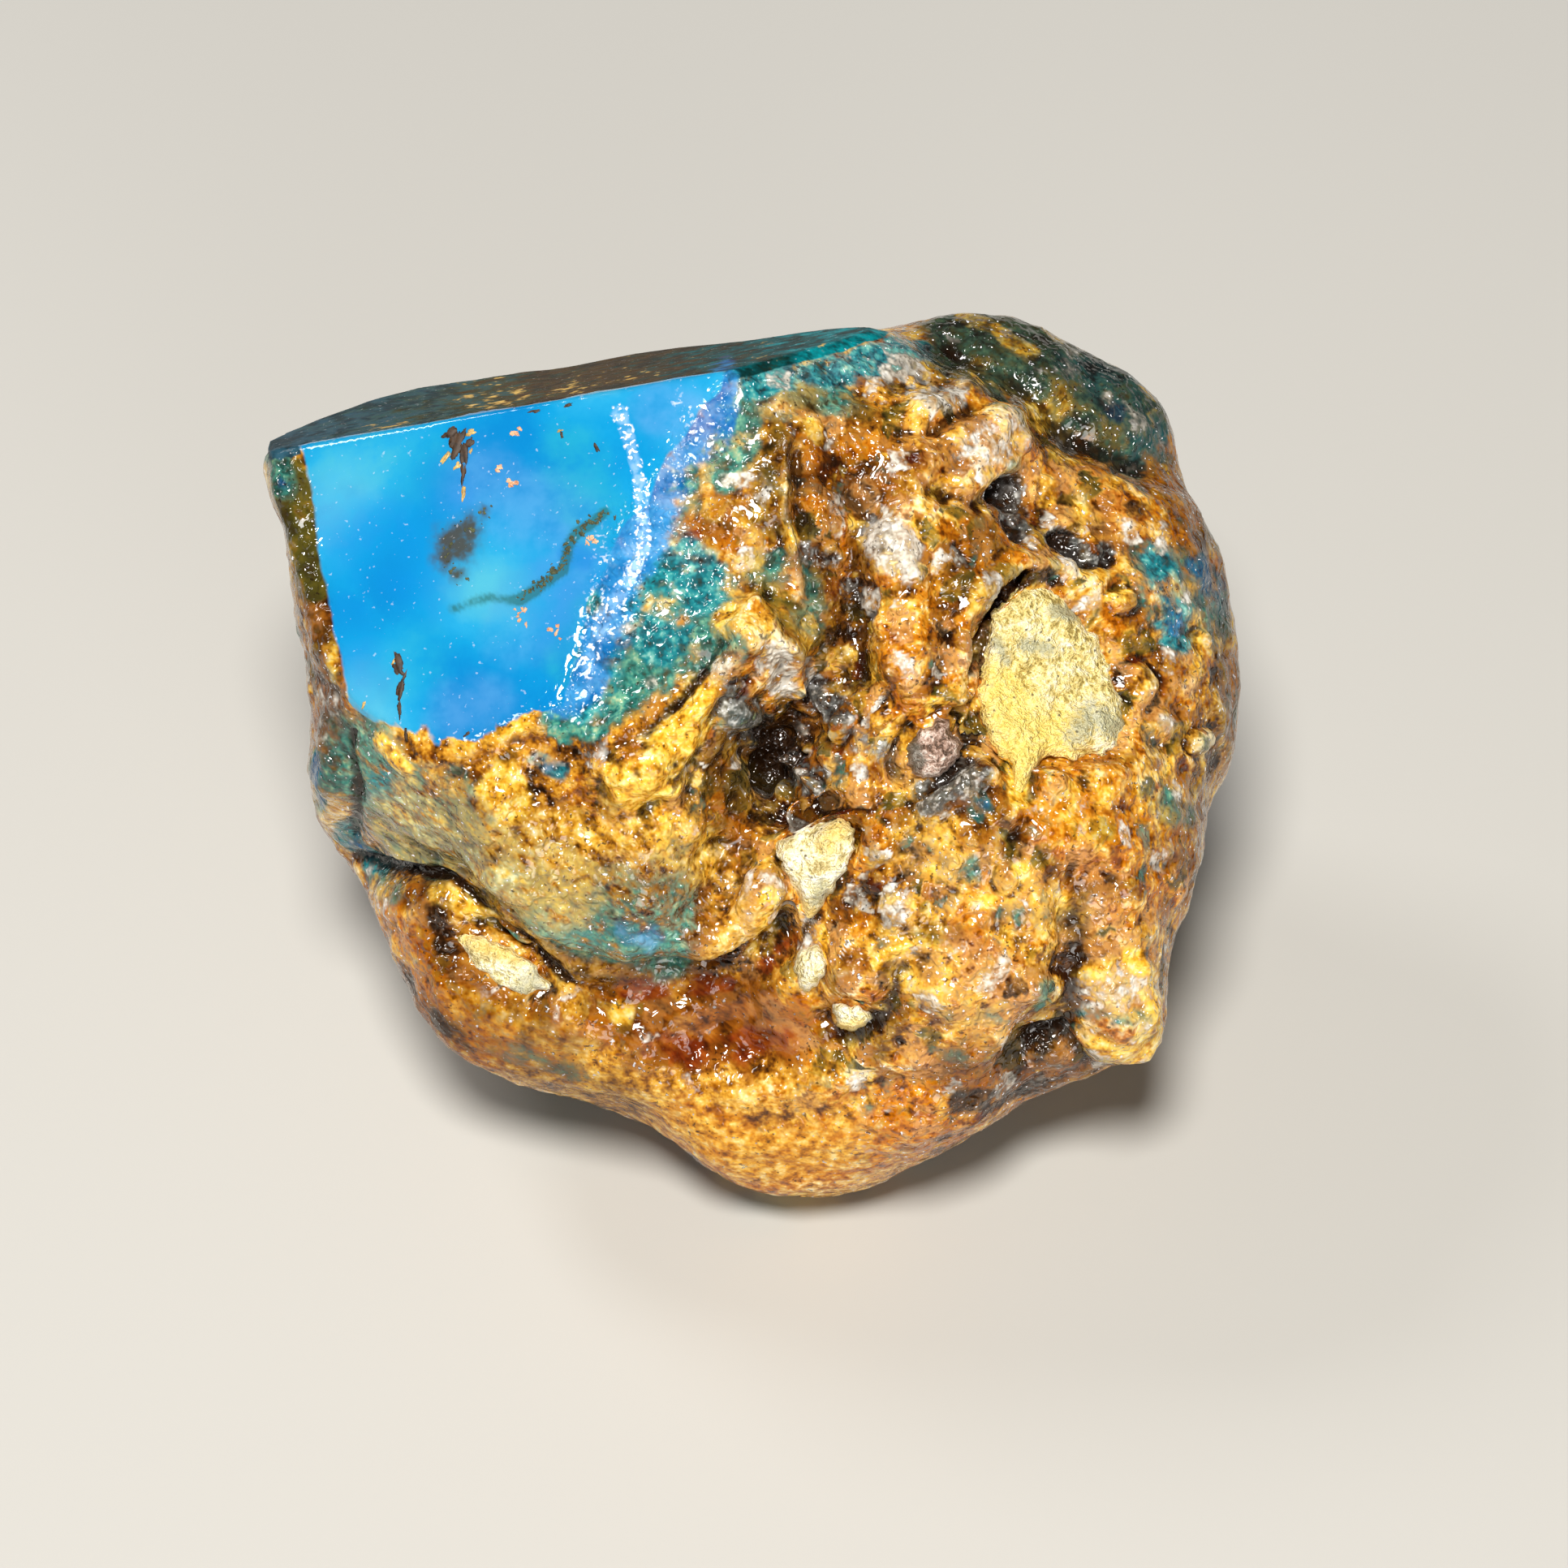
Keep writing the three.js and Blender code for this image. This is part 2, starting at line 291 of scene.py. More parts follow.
def linear(code):
    """A colour code such as c88c3c, as linear red, green, blue and alpha."""
    values = [int(code[i:i + 2], 16) / 255 for i in (0, 2, 4)]
    return [v / 12.92 if v <= 0.04045 else ((v + 0.055) / 1.055) ** 2.4 for v in values] + [1.0]


class Shader:
    """A material with one Principled shader, and short names for the nodes that feed it."""

    def __init__(self, name):
        self.material = bpy.data.materials.new(name)
        self.material.use_nodes = True
        self.tree = self.material.node_tree
        self.surface = self.tree.nodes["Principled BSDF"]
        self.output = self.tree.nodes["Material Output"]
        place = self.add("ShaderNodeTexCoord").outputs["Object"]
        scale = self.add("ShaderNodeVectorMath", {0: place}, operation="SCALE")
        scale.inputs["Scale"].default_value = 1 / MM
        self.place = scale.outputs[0]

    def add(self, kind, inputs=None, **settings):
        node = self.tree.nodes.new(kind)
        for key, value in settings.items():
            setattr(node, key, value)
        for key, value in (inputs or {}).items():
            self.put(node.inputs[key], value)
        return node

    def put(self, socket, value):
        if isinstance(value, bpy.types.NodeSocket):
            self.tree.links.new(value, socket)
        else:
            socket.default_value = value

    def set(self, **inputs):
        for key, value in inputs.items():
            self.put(self.surface.inputs[key.replace("_", " ")], value)

    def mask(self, name):
        return self.add("ShaderNodeAttribute", attribute_name=name).outputs["Fac"]

    def noise(self, per_mm, detail=0.0, roughness=0.5, place=None, distortion=0.0):
        inputs = {"Vector": place or self.place, "Scale": per_mm, "Detail": detail, "Roughness": roughness}
        inputs["Distortion"] = distortion
        return self.add("ShaderNodeTexNoise", inputs).outputs["Fac"]

    def cells(self, per_mm):
        """Distance from the nearest of some scattered points."""
        return self.add("ShaderNodeTexVoronoi", {"Vector": self.place, "Scale": per_mm}).outputs["Distance"]

    def maths(self, operation, first, second=0.0, third=0.0):
        node = self.add("ShaderNodeMath", {0: first, 1: second, 2: third}, operation=operation)
        return node.outputs[0]

    def combed(self, way, stretch):
        """The place drawn out along a direction of the display face's frame."""
        along = Vector(way @ FACE_AXES).normalized()
        turn = along.to_track_quat("X", "Z").to_euler()
        node = self.add("ShaderNodeMapping", {"Vector": self.place}, vector_type="TEXTURE")
        node.inputs["Rotation"].default_value = turn
        node.inputs["Scale"].default_value = (stretch, 1.0, 1.0)
        return node.outputs[0]

    def total(self, start, *terms):
        """A start value, and for each value with its weight, how far that value is above a half."""
        for value, weight in terms:
            start = self.maths("MULTIPLY_ADD", value, weight, self.maths("SUBTRACT", start, weight / 2))
        return start

    def between(self, share, first, second):
        """A value between two others."""
        return self.add("ShaderNodeMix", {0: share, 2: first, 3: second}, data_type="FLOAT").outputs[0]

    def span(self, value, low, high, start=0.0, end=1.0):
        """A value brought smoothly from one range into another."""
        inputs = {"Value": value, "From Min": low, "From Max": high, "To Min": start, "To Max": end}
        return self.add("ShaderNodeMapRange", inputs, interpolation_type="SMOOTHSTEP").outputs[0]

    def blend(self, share, first, second):
        node = self.add("ShaderNodeMix", {0: share, 6: first, 7: second}, data_type="RGBA")
        return node.outputs[2]

    def ramp(self, value, stops):
        node = self.add("ShaderNodeValToRGB", {0: value})
        elements = node.color_ramp.elements
        for element, (place, code) in zip(elements, stops):
            element.position = place
            element.color = linear(code)
        for place, code in stops[2:]:
            elements.new(place).color = linear(code)
        return node.outputs[0]

    def bump(self, height, distance_mm, strength):
        inputs = {"Height": height, "Distance": distance_mm * MM, "Strength": strength}
        return self.add("ShaderNodeBump", inputs).outputs[0]

    def broken(self, name, noise, amount, softness, most=1.0):
        """A mask from the vertices, stronger where noise is high and weaker where it is low."""
        factor = self.maths("MULTIPLY_ADD", noise, amount, 1 - amount / 2)
        product = self.maths("MULTIPLY", self.mask(name), factor)
        return self.span(product, 0.5 - softness, 0.5 + softness, 0.0, most)


# The nugget's shape

directions, nugget_quads = rounded_cube(NUGGET_SQUARES)
directions = directions + [0.0, 0.0, FRONT_BIAS]
directions /= np.linalg.norm(directions, axis=1, keepdims=True)
nugget_edges = edges_of(nugget_quads)
base = cast_onto(node_surface("amber_nugget"), np.zeros(3), directions)

DOWN = np.array([0.0, -math.sin(LEAN), -math.cos(LEAN)])
lowest = (base @ DOWN).max()


def above(points, faces, point):
    """How far points are above a plane."""
    return (points - point) @ faces


# Outlines of the clasts in the picture
CLAST_OUTLINES = {
    "clast_large": [
        (1236, 733), (1265, 716), (1309, 723), (1328, 760), (1357, 786), (1368, 818), (1384, 864),
        (1391, 900), (1372, 932), (1323, 936), (1285, 934), (1270, 962), (1253, 984), (1244, 946),
        (1217, 912), (1202, 864), (1212, 808), (1222, 767),
    ],
    "clast_middle": [
        (1008, 1011), (1042, 1001), (1058, 1025), (1043, 1069), (1028, 1098), (1008, 1128), (988, 1132),
        (978, 1098), (962, 1064), (944, 1034), (979, 1028),
    ],
    "clast_in_fold": [
        (559, 1145), (605, 1154), (643, 1173), (668, 1194), (682, 1219), (655, 1231), (622, 1221),
        (593, 1202), (572, 1175),
    ],
    "clast_small": [(990, 1166), (1020, 1164), (1019, 1195), (1000, 1221), (981, 1214), (978, 1190)],
    "clast_in_pit": [(1031, 1234), (1062, 1238), (1078, 1253), (1058, 1270), (1031, 1269), (1025, 1250)],
    "brown_pebble": [(1128, 898), (1160, 882), (1185, 915), (1174, 946), (1139, 962), (1112, 938)],
}


def lie_terms(points):
    x, y = points[:, 0], points[:, 1]
    return np.stack([np.ones(len(points)), x, y, x * x, x * y, y * y], axis=1)


# The crust's lie at a clast is taken from a ring round it, and the crust is levelled from a little way out,
# all in pixels inside the clast's outline
LIE_RING = (-42, -14)
LEVELLED = (-24, -9)
HIDDEN_FROM_VIEW = -1e3


def lie_of_crust(outline):
    """The lie of the crust round an outline, as the factors of a curved surface, and how far each vertex
    is inside the outline."""
    inside = np.where(base[:, 2] > 0, inside_outline(seen_at(base), outline), HIDDEN_FROM_VIEW)
    ring = (inside > LIE_RING[0]) & (inside < LIE_RING[1])
    return np.linalg.lstsq(lie_terms(base[ring]), base[ring, 2], rcond=None)[0], inside


# The crust is level under each clast, a little below the clast's edge
CLAST_BED = 1.0
clast_lies = {}
clast_insides = {}
for name, outline in CLAST_OUTLINES.items():
    lie, inside = lie_of_crust(outline)
    share = smoothstep(*LEVELLED, inside)
    base[:, 2] += share * (lie_terms(base) @ lie - CLAST_BED * smoothstep(2, 16, inside) - base[:, 2])
    clast_lies[name] = lie
    clast_insides[name] = inside

ON_A_FLAT = 0.03
flat_window = np.abs(above(base, WINDOW_FACES, WINDOW_POINT)) < ON_A_FLAT
flat_top = np.abs(above(base, TOP_FACES, TOP_POINT)) < ON_A_FLAT
flat_base = base @ DOWN > lowest - ON_A_FLAT
base = smoothed(base, nugget_edges, SMOOTHING_ROUNDS, moves=1.0 - (flat_window | flat_top | flat_base))
base = smoothed(base, nugget_edges, 1)

# The top's back edge stands higher at its left than the sawn plane
TOP_LIFT = 0.95
TOP_LIFT_PIXEL = 465
TOP_LIFT_REACH = 130
lifted = np.exp(-(((seen_at(base)[:, 0] - TOP_LIFT_PIXEL) / TOP_LIFT_REACH) ** 2))
base[:, 1] += TOP_LIFT * lifted * smoothstep(9, -6, base[:, 2]) * smoothstep(0, 12, base[:, 1])
base_normals = normals_of(base, nugget_quads)

# Where the camera sees each vertex, and whether it faces the camera
seen = seen_at(base)
facing = smoothstep(-0.05, 0.25, base_normals[:, 2]) * smoothstep(-3.0, 1.0, base[:, 2])
behind = 1 - facing
ragged = layered(base, 1.6, 4, 0.6)

# Outline of the polished window in the picture
WINDOW_OUTLINE = [
    (368, 535), (560, 498), (700, 476), (860, 441), (905, 432), (885, 480), (850, 525), (818, 570),
    (797, 620), (762, 650), (744, 700), (724, 750), (714, 800), (702, 840), (690, 864), (655, 872),
    (610, 890), (560, 918), (520, 900), (480, 893), (440, 884), (424, 830), (405, 740), (391, 650),
]
inside_window = inside_outline(seen, WINDOW_OUTLINE)

# The window's edge is soft by some pixels, and ragged, most of all along its foot
WINDOW_SOFT = 9
WINDOW_FOOT = (835, 880)
edge_ragged = (6 + 16 * smoothstep(*WINDOW_FOOT, seen[:, 1])) * ragged
window = smoothstep(-WINDOW_SOFT, WINDOW_SOFT, inside_window + edge_ragged)
window *= 1 - smoothstep(0.25, 0.7, -above(base, WINDOW_FACES, WINDOW_POINT))
window *= facing
top_face = (1 - smoothstep(0.2, 0.6, -above(base, TOP_FACES, TOP_POINT))) * (1 - window)
flats = np.maximum(np.maximum(window, top_face), flat_base)

# Right of the window the blue goes on over waxy lumps
WINDOW_MARGIN = [
    (895, 445), (912, 470), (900, 530), (872, 565), (846, 585), (832, 640), (806, 690), (775, 745),
    (752, 815), (715, 880), (680, 872), (715, 780), (760, 640), (818, 560), (870, 480),
]
margin = smoothstep(-20, 14, inside_outline(seen, WINDOW_MARGIN) + 24 * ragged) * facing

# Forms of the crust: what they are, the line they follow in the picture, half width in pixels, height in
# millimetres
FORMS = [
    ("fold", [(425, 1058), (500, 1068), (560, 1082), (608, 1118), (650, 1158), (700, 1206), (740, 1218)], 8,
     -0.5),
    ("fold end", [(740, 1218), (800, 1222), (880, 1216), (940, 1190), (985, 1150)], 26, -0.25),
    ("fold lip", [(440, 1030), (520, 1050), (590, 1070), (640, 1110), (690, 1165), (780, 1190)], 24, 0.3),
    ("under the fold", [(470, 1110), (540, 1120), (600, 1150)], 20, 0.3),
    ("gold ridge", [(870, 1185), (915, 1150), (935, 1085)], 26, 0.5),
    ("lobe hump", [(640, 1020), (780, 1070)], 90, 0.4),
    ("cave", [(950, 935), (962, 980)], 28, -0.7),
    ("cave throat", [(985, 895), (950, 930), (945, 1005)], 22, -0.5),
    ("cave ridge", [(935, 922), (992, 962)], 8, 0.5),
    ("cave cross ridge", [(978, 912), (948, 985)], 7, 0.45),
    ("brown wall", [(905, 920), (890, 1000), (880, 1050)], 24, -0.45),
    ("arm", [(775, 955), (840, 900), (880, 850), (935, 790)], 44, 0.65),
    ("arm overhang", [(755, 932), (795, 905), (832, 866), (868, 828), (890, 790)], 11, -0.5),
    ("arm right edge", [(895, 868), (862, 934), (850, 990)], 14, -0.4),
    ("facet edge", [(925, 790), (945, 775), (970, 800), (975, 845)], 12, 0.45),
    ("green loop", [(930, 745), (940, 705), (980, 700), (1002, 740)], 9, 0.25),
    ("block groove left", [(1060, 640), (1054, 720), (1058, 828), (1085, 862)], 16, -0.35),
    ("block groove right", [(1135, 640), (1160, 720), (1172, 800), (1160, 850)], 14, -0.35),
    ("upright block", [(1098, 660), (1110, 740), (1115, 820)], 36, 0.45),
    ("rim", [(966, 545), (962, 620), (975, 680)], 8, 0.5),
    ("rim hollow", [(984, 560), (980, 640)], 12, -0.5),
    ("brown recess", [(1005, 560), (1045, 585), (1080, 600)], 34, -0.5),
    ("recess sill", [(1005, 655), (1045, 640)], 14, 0.35),
    ("upper block", [(1130, 505), (1185, 488)], 24, 0.45),
    ("upper block edge", [(1110, 530), (1150, 528), (1195, 505)], 10, -0.4),
    ("flesh ridge", [(1130, 578), (1175, 545), (1215, 520), (1250, 512)], 14, 0.3),
    ("flesh ridge two", [(1192, 590), (1215, 560), (1235, 530)], 11, 0.25),
    ("flesh ridge three", [(1225, 600), (1250, 572), (1264, 540)], 11, 0.25),
    ("flesh underside", [(1150, 605), (1210, 618), (1262, 592)], 12, -0.5),
    ("upper pit", [(1245, 600), (1262, 650)], 18, -0.8),
    ("right slit", [(1303, 660), (1335, 685), (1362, 682)], 11, -0.6),
    ("slit lip", [(1300, 645), (1340, 655), (1370, 662)], 10, 0.3),
    ("clast rim", [(1185, 860), (1190, 780), (1212, 718), (1260, 690), (1320, 698)], 12, 0.4),
    ("clast gap", [(1206, 862), (1212, 800), (1232, 736), (1270, 708)], 6, -0.9),
    ("clast foot", [(1225, 955), (1250, 1005), (1290, 958), (1380, 950)], 12, 0.3),
    ("slab", [(1150, 990), (1205, 955)], 20, 0.5),
    ("slab shadow", [(1125, 988), (1165, 962), (1190, 938)], 9, -0.3),
    ("orange step", [(1268, 960), (1276, 1000), (1248, 1040)], 14, -0.25),
    ("groove", [(1326, 1130), (1324, 1190), (1312, 1255)], 16, -0.3),
    ("green stone", [(1283, 1222)], 22, 0.4),
    ("dark pit", [(1270, 1290), (1300, 1278)], 18, -1.0),
    ("knob", [(1360, 1205), (1378, 1265)], 36, 0.6),
    ("knob drip", [(1406, 1190), (1412, 1255)], 9, 0.3),
    ("knob foot", [(1315, 1300), (1350, 1322), (1400, 1312)], 10, -0.5),
    ("bulge", [(1180, 1220), (1215, 1190)], 60, 0.6),
    ("pit crease", [(1012, 1262), (1040, 1286), (1090, 1248), (1112, 1195)], 14, -0.4),
    ("round bump", [(1056, 1196)], 28, 0.55),
    ("leaf ridge", [(1078, 1190), (1100, 1170), (1128, 1160)], 7, 0.3),
    ("red hollow", [(770, 1255), (870, 1280), (970, 1270)], 44, -0.7),
    ("hollow streak", [(800, 1300), (880, 1318), (960, 1300)], 14, -0.2),
    ("lip ridge", [(900, 1350), (1020, 1335), (1120, 1300)], 18, 0.35),
    ("ochre finger", [(556, 925), (600, 896), (660, 882)], 14, 0.4),
    ("yellow knot", [(628, 975)], 20, 0.3),
    ("left chip", [(468, 910), (504, 944)], 8, 0.35),
    ("left flap", [(404, 915), (408, 1005)], 12, 0.35),
    ("flap groove", [(428, 905), (434, 960), (440, 1025)], 8, -0.45),
    ("upper right seam", [(1180, 430), (1260, 485), (1330, 545), (1400, 575)], 14, -0.45),
    ("right shoulder", [(1300, 470), (1390, 520)], 40, 0.35),
    ("small ridge", [(1100, 1115), (1160, 1080), (1200, 1040)], 16, 0.3),
    ("crossing furrow", [(1330, 1075), (1390, 1090), (1430, 1070)], 16, -0.25),
]

# Round bumps on the crust: middle in the picture, radius in pixels, height in millimetres, and the depth
# of the ring round them
BUMPS = [
    ((1382, 741), 19, 0.3, 0.3), ((1408, 844), 24, 0.3, 0.35), ((1350, 752), 13, 0.2, 0.1),
    ((1010, 858), 15, 0.5, 0.2), ((1032, 898), 14, 0.45, 0.2), ((988, 868), 12, 0.4, 0.2),
    ((912, 884), 22, 0.5, 0.25), ((968, 940), 9, 0.4, 0.2), ((998, 965), 10, 0.4, 0.2),
    ((985, 925), 8, 0.35, 0.15), ((955, 968), 9, 0.35, 0.15), ((978, 985), 8, 0.3, 0.15),
    ((1019, 930), 14, 0.4, 0.15), ((1432, 890), 20, 0.35, 0.15), ((1479, 912), 16, 0.4, 0.35),
    ((1258, 632), 13, 0.5, 0.0), ((1345, 672), 11, 0.4, 0.0), ((1022, 675), 12, 0.35, 0.15),
    ((1085, 770), 14, 0.3, 0.15), ((1225, 815), 10, 0.25, 0.1), ((1295, 1210), 14, 0.35, 0.2),
    ((1170, 1060), 13, 0.3, 0.2), ((1120, 1010), 15, 0.3, 0.15), ((1240, 1085), 14, 0.3, 0.2),
]

# Forms wander off their lines, and get wider and deeper in places
wander = np.stack([layered(base + shift, 3.5, 3) for shift in (50.0, 90.0)], axis=1)
wandering = seen + 12 * wander
varied = np.clip(1 + 1.1 * layered(base + 70.0, 2.8, 3), 0.3, 1.8)

relief = np.zeros(len(base))
for _, line, half_width, height in FORMS:
    share = line_distance(wandering, line) / (half_width * (0.5 + 0.5 * varied))
    relief += height * varied * np.exp(-(share**2)) * facing
for middle, radius, height, ring in BUMPS:
    distance = (line_distance(wandering, [middle]) + 6 * ragged) / radius
    relief += 0.8 * height * np.exp(-(distance**4)) * facing
    relief -= 0.7 * ring * varied * np.exp(-(((distance - 1.2) / 0.3) ** 2)) * facing


def about(lines, half_width):
    """How near vertices are to some lines in the picture, from 0 to 1."""
    nearest = np.min([line_distance(seen, line) for line in lines], axis=0)
    return np.exp(-((nearest / half_width) ** 2)) * facing


# How rugged the crust is: smooth on the belly, the lobe and the upper right
belly = np.maximum(about([[(560, 1290), (800, 1380), (1000, 1440)]], 75), 0.7 * about([[(880, 1290)]], 90))
lobe = about([[(470, 970), (560, 1020), (700, 1080), (830, 1120)]], 95)
waxy = about([[(760, 680), (850, 740)], [(700, 880), (790, 830)], [(850, 500), (900, 560)]], 60)
rugged = 0.9 + 0.7 * layered(base, 7.0, 2)
rugged *= 1 - 0.6 * belly
rugged *= 1 - 0.5 * lobe
rugged *= 1 - 0.4 * waxy
rugged *= 1 - 0.4 * about([[(1240, 430), (1380, 510)]], 70)
rugged *= 1 - 0.45 * smoothstep(0.5, 0.05, np.abs(base_normals[:, 2]))
red_hollow = about([[(760, 1235), (870, 1270), (960, 1265)]], 62)
rugged = np.clip(rugged, 0.2, 1.4) * (1 - 0.85 * red_hollow)

# Streaks run down the lobe from its upper left
STREAK = np.array([0.74, -0.63, 0.2])
STREAK /= np.linalg.norm(STREAK)
STREAK_STRETCH = 2.6
along_streak = base @ STREAK
combed = base - np.outer(along_streak, STREAK) * (1 - 1 / STREAK_STRETCH)

# The rubble of the crust: sizes of its lumps, of the pebbles on them and of the hidden sides' pits
LUMP_SIZE = 2.6
PEBBLE_SIZE = 1.3
PIT_SIZE = 5.5
warp = np.stack([layered(base + 31.0 * (axis + 1), 5.0, 2) for axis in range(3)], axis=1)
flowing = base + 1.5 * warp
lump_middle, lump_border, lump_number = grains(flowing, LUMP_SIZE)
pebble_middle, _, pebble_number = grains(base + 0.5 * warp + 0.3 * ragged[:, None], PEBBLE_SIZE)
crust = 0.55 * layered(flowing, 4.4, 4, 0.5)
crust += 0.16 * (0.35 - np.abs(layered(flowing + 11.0, 3.0, 3, 0.5)))
crust += 0.18 * (1 - np.minimum(lump_middle / 0.7, 1) ** 2) * (lump_number - 0.1)
crust -= 0.07 * np.exp(-((lump_border / 0.1) ** 2)) * (lump_number > 0.5)
crust += 0.10 * (1 - np.minimum(pebble_middle / 0.65, 1) ** 2) * (pebble_number - 0.3)
crust -= 0.25 * np.exp(-((pebble_middle / 0.3) ** 2)) * (pebble_number < 0.06)
crust += 0.18 * layered(base, 1.2, 3, 0.65) - 0.12
relief += crust * rugged + 0.10 * lobe * layered(combed, 0.8, 2, 0.6)

# The hidden sides have folds and pits of their own
pit_middle, _, pit_number = grains(flowing, PIT_SIZE)
hidden = smoothstep(0.1, 0.6, -base_normals[:, 2])
relief += hidden * 1.3 * (0.3 - np.abs(layered(flowing + 23.0, 10.0, 3, 0.5)))
relief -= hidden * 0.8 * np.exp(-((pit_middle / 0.32) ** 2)) * (pit_number < 0.3)
relief *= (1 - flats) * smoothstep(0.0, 1.0, (lowest - base @ DOWN) / 1.2)

# How deep and how high the crust may go: less beside the window
DEEPEST = 2.2
HIGHEST = 1.4
outside = np.maximum(-inside_window, 0)
depth_limit = DEEPEST * (1 - margin) + margin * (0.03 + 0.012 * outside)
height_limit = np.minimum(HIGHEST, 0.05 + 0.010 * outside + behind)
relief = np.clip(relief, -depth_limit, height_limit)

# Each clast is as high as the crust round it, and the brown pebble a little higher
PEBBLE_LIFT = 0.5
clast_lifts = {}
for name, inside in clast_insides.items():
    around_it = relief[(inside < -2) & (inside > -12)].mean()
    clast_lifts[name] = around_it + PEBBLE_LIFT * (name == "brown_pebble")
    relief += smoothstep(-12, 3, inside) * (clast_lifts[name] - relief)

shape = base + base_normals * relief[:, None]
shape_normals = normals_of(shape, nugget_quads)


def relief_against(rounds, reach):
    """How far the surface stands out from itself smoothed: negative in hollows, from -1 to 1."""
    offset = ((shape - smoothed(shape, nugget_edges, rounds)) * shape_normals).sum(axis=1)
    return np.clip(offset / reach, -1, 1)


hollow = 0.5 * relief_against(10, 0.12) + 0.5 * relief_against(60, 0.5)


# Masks of the nugget's colours

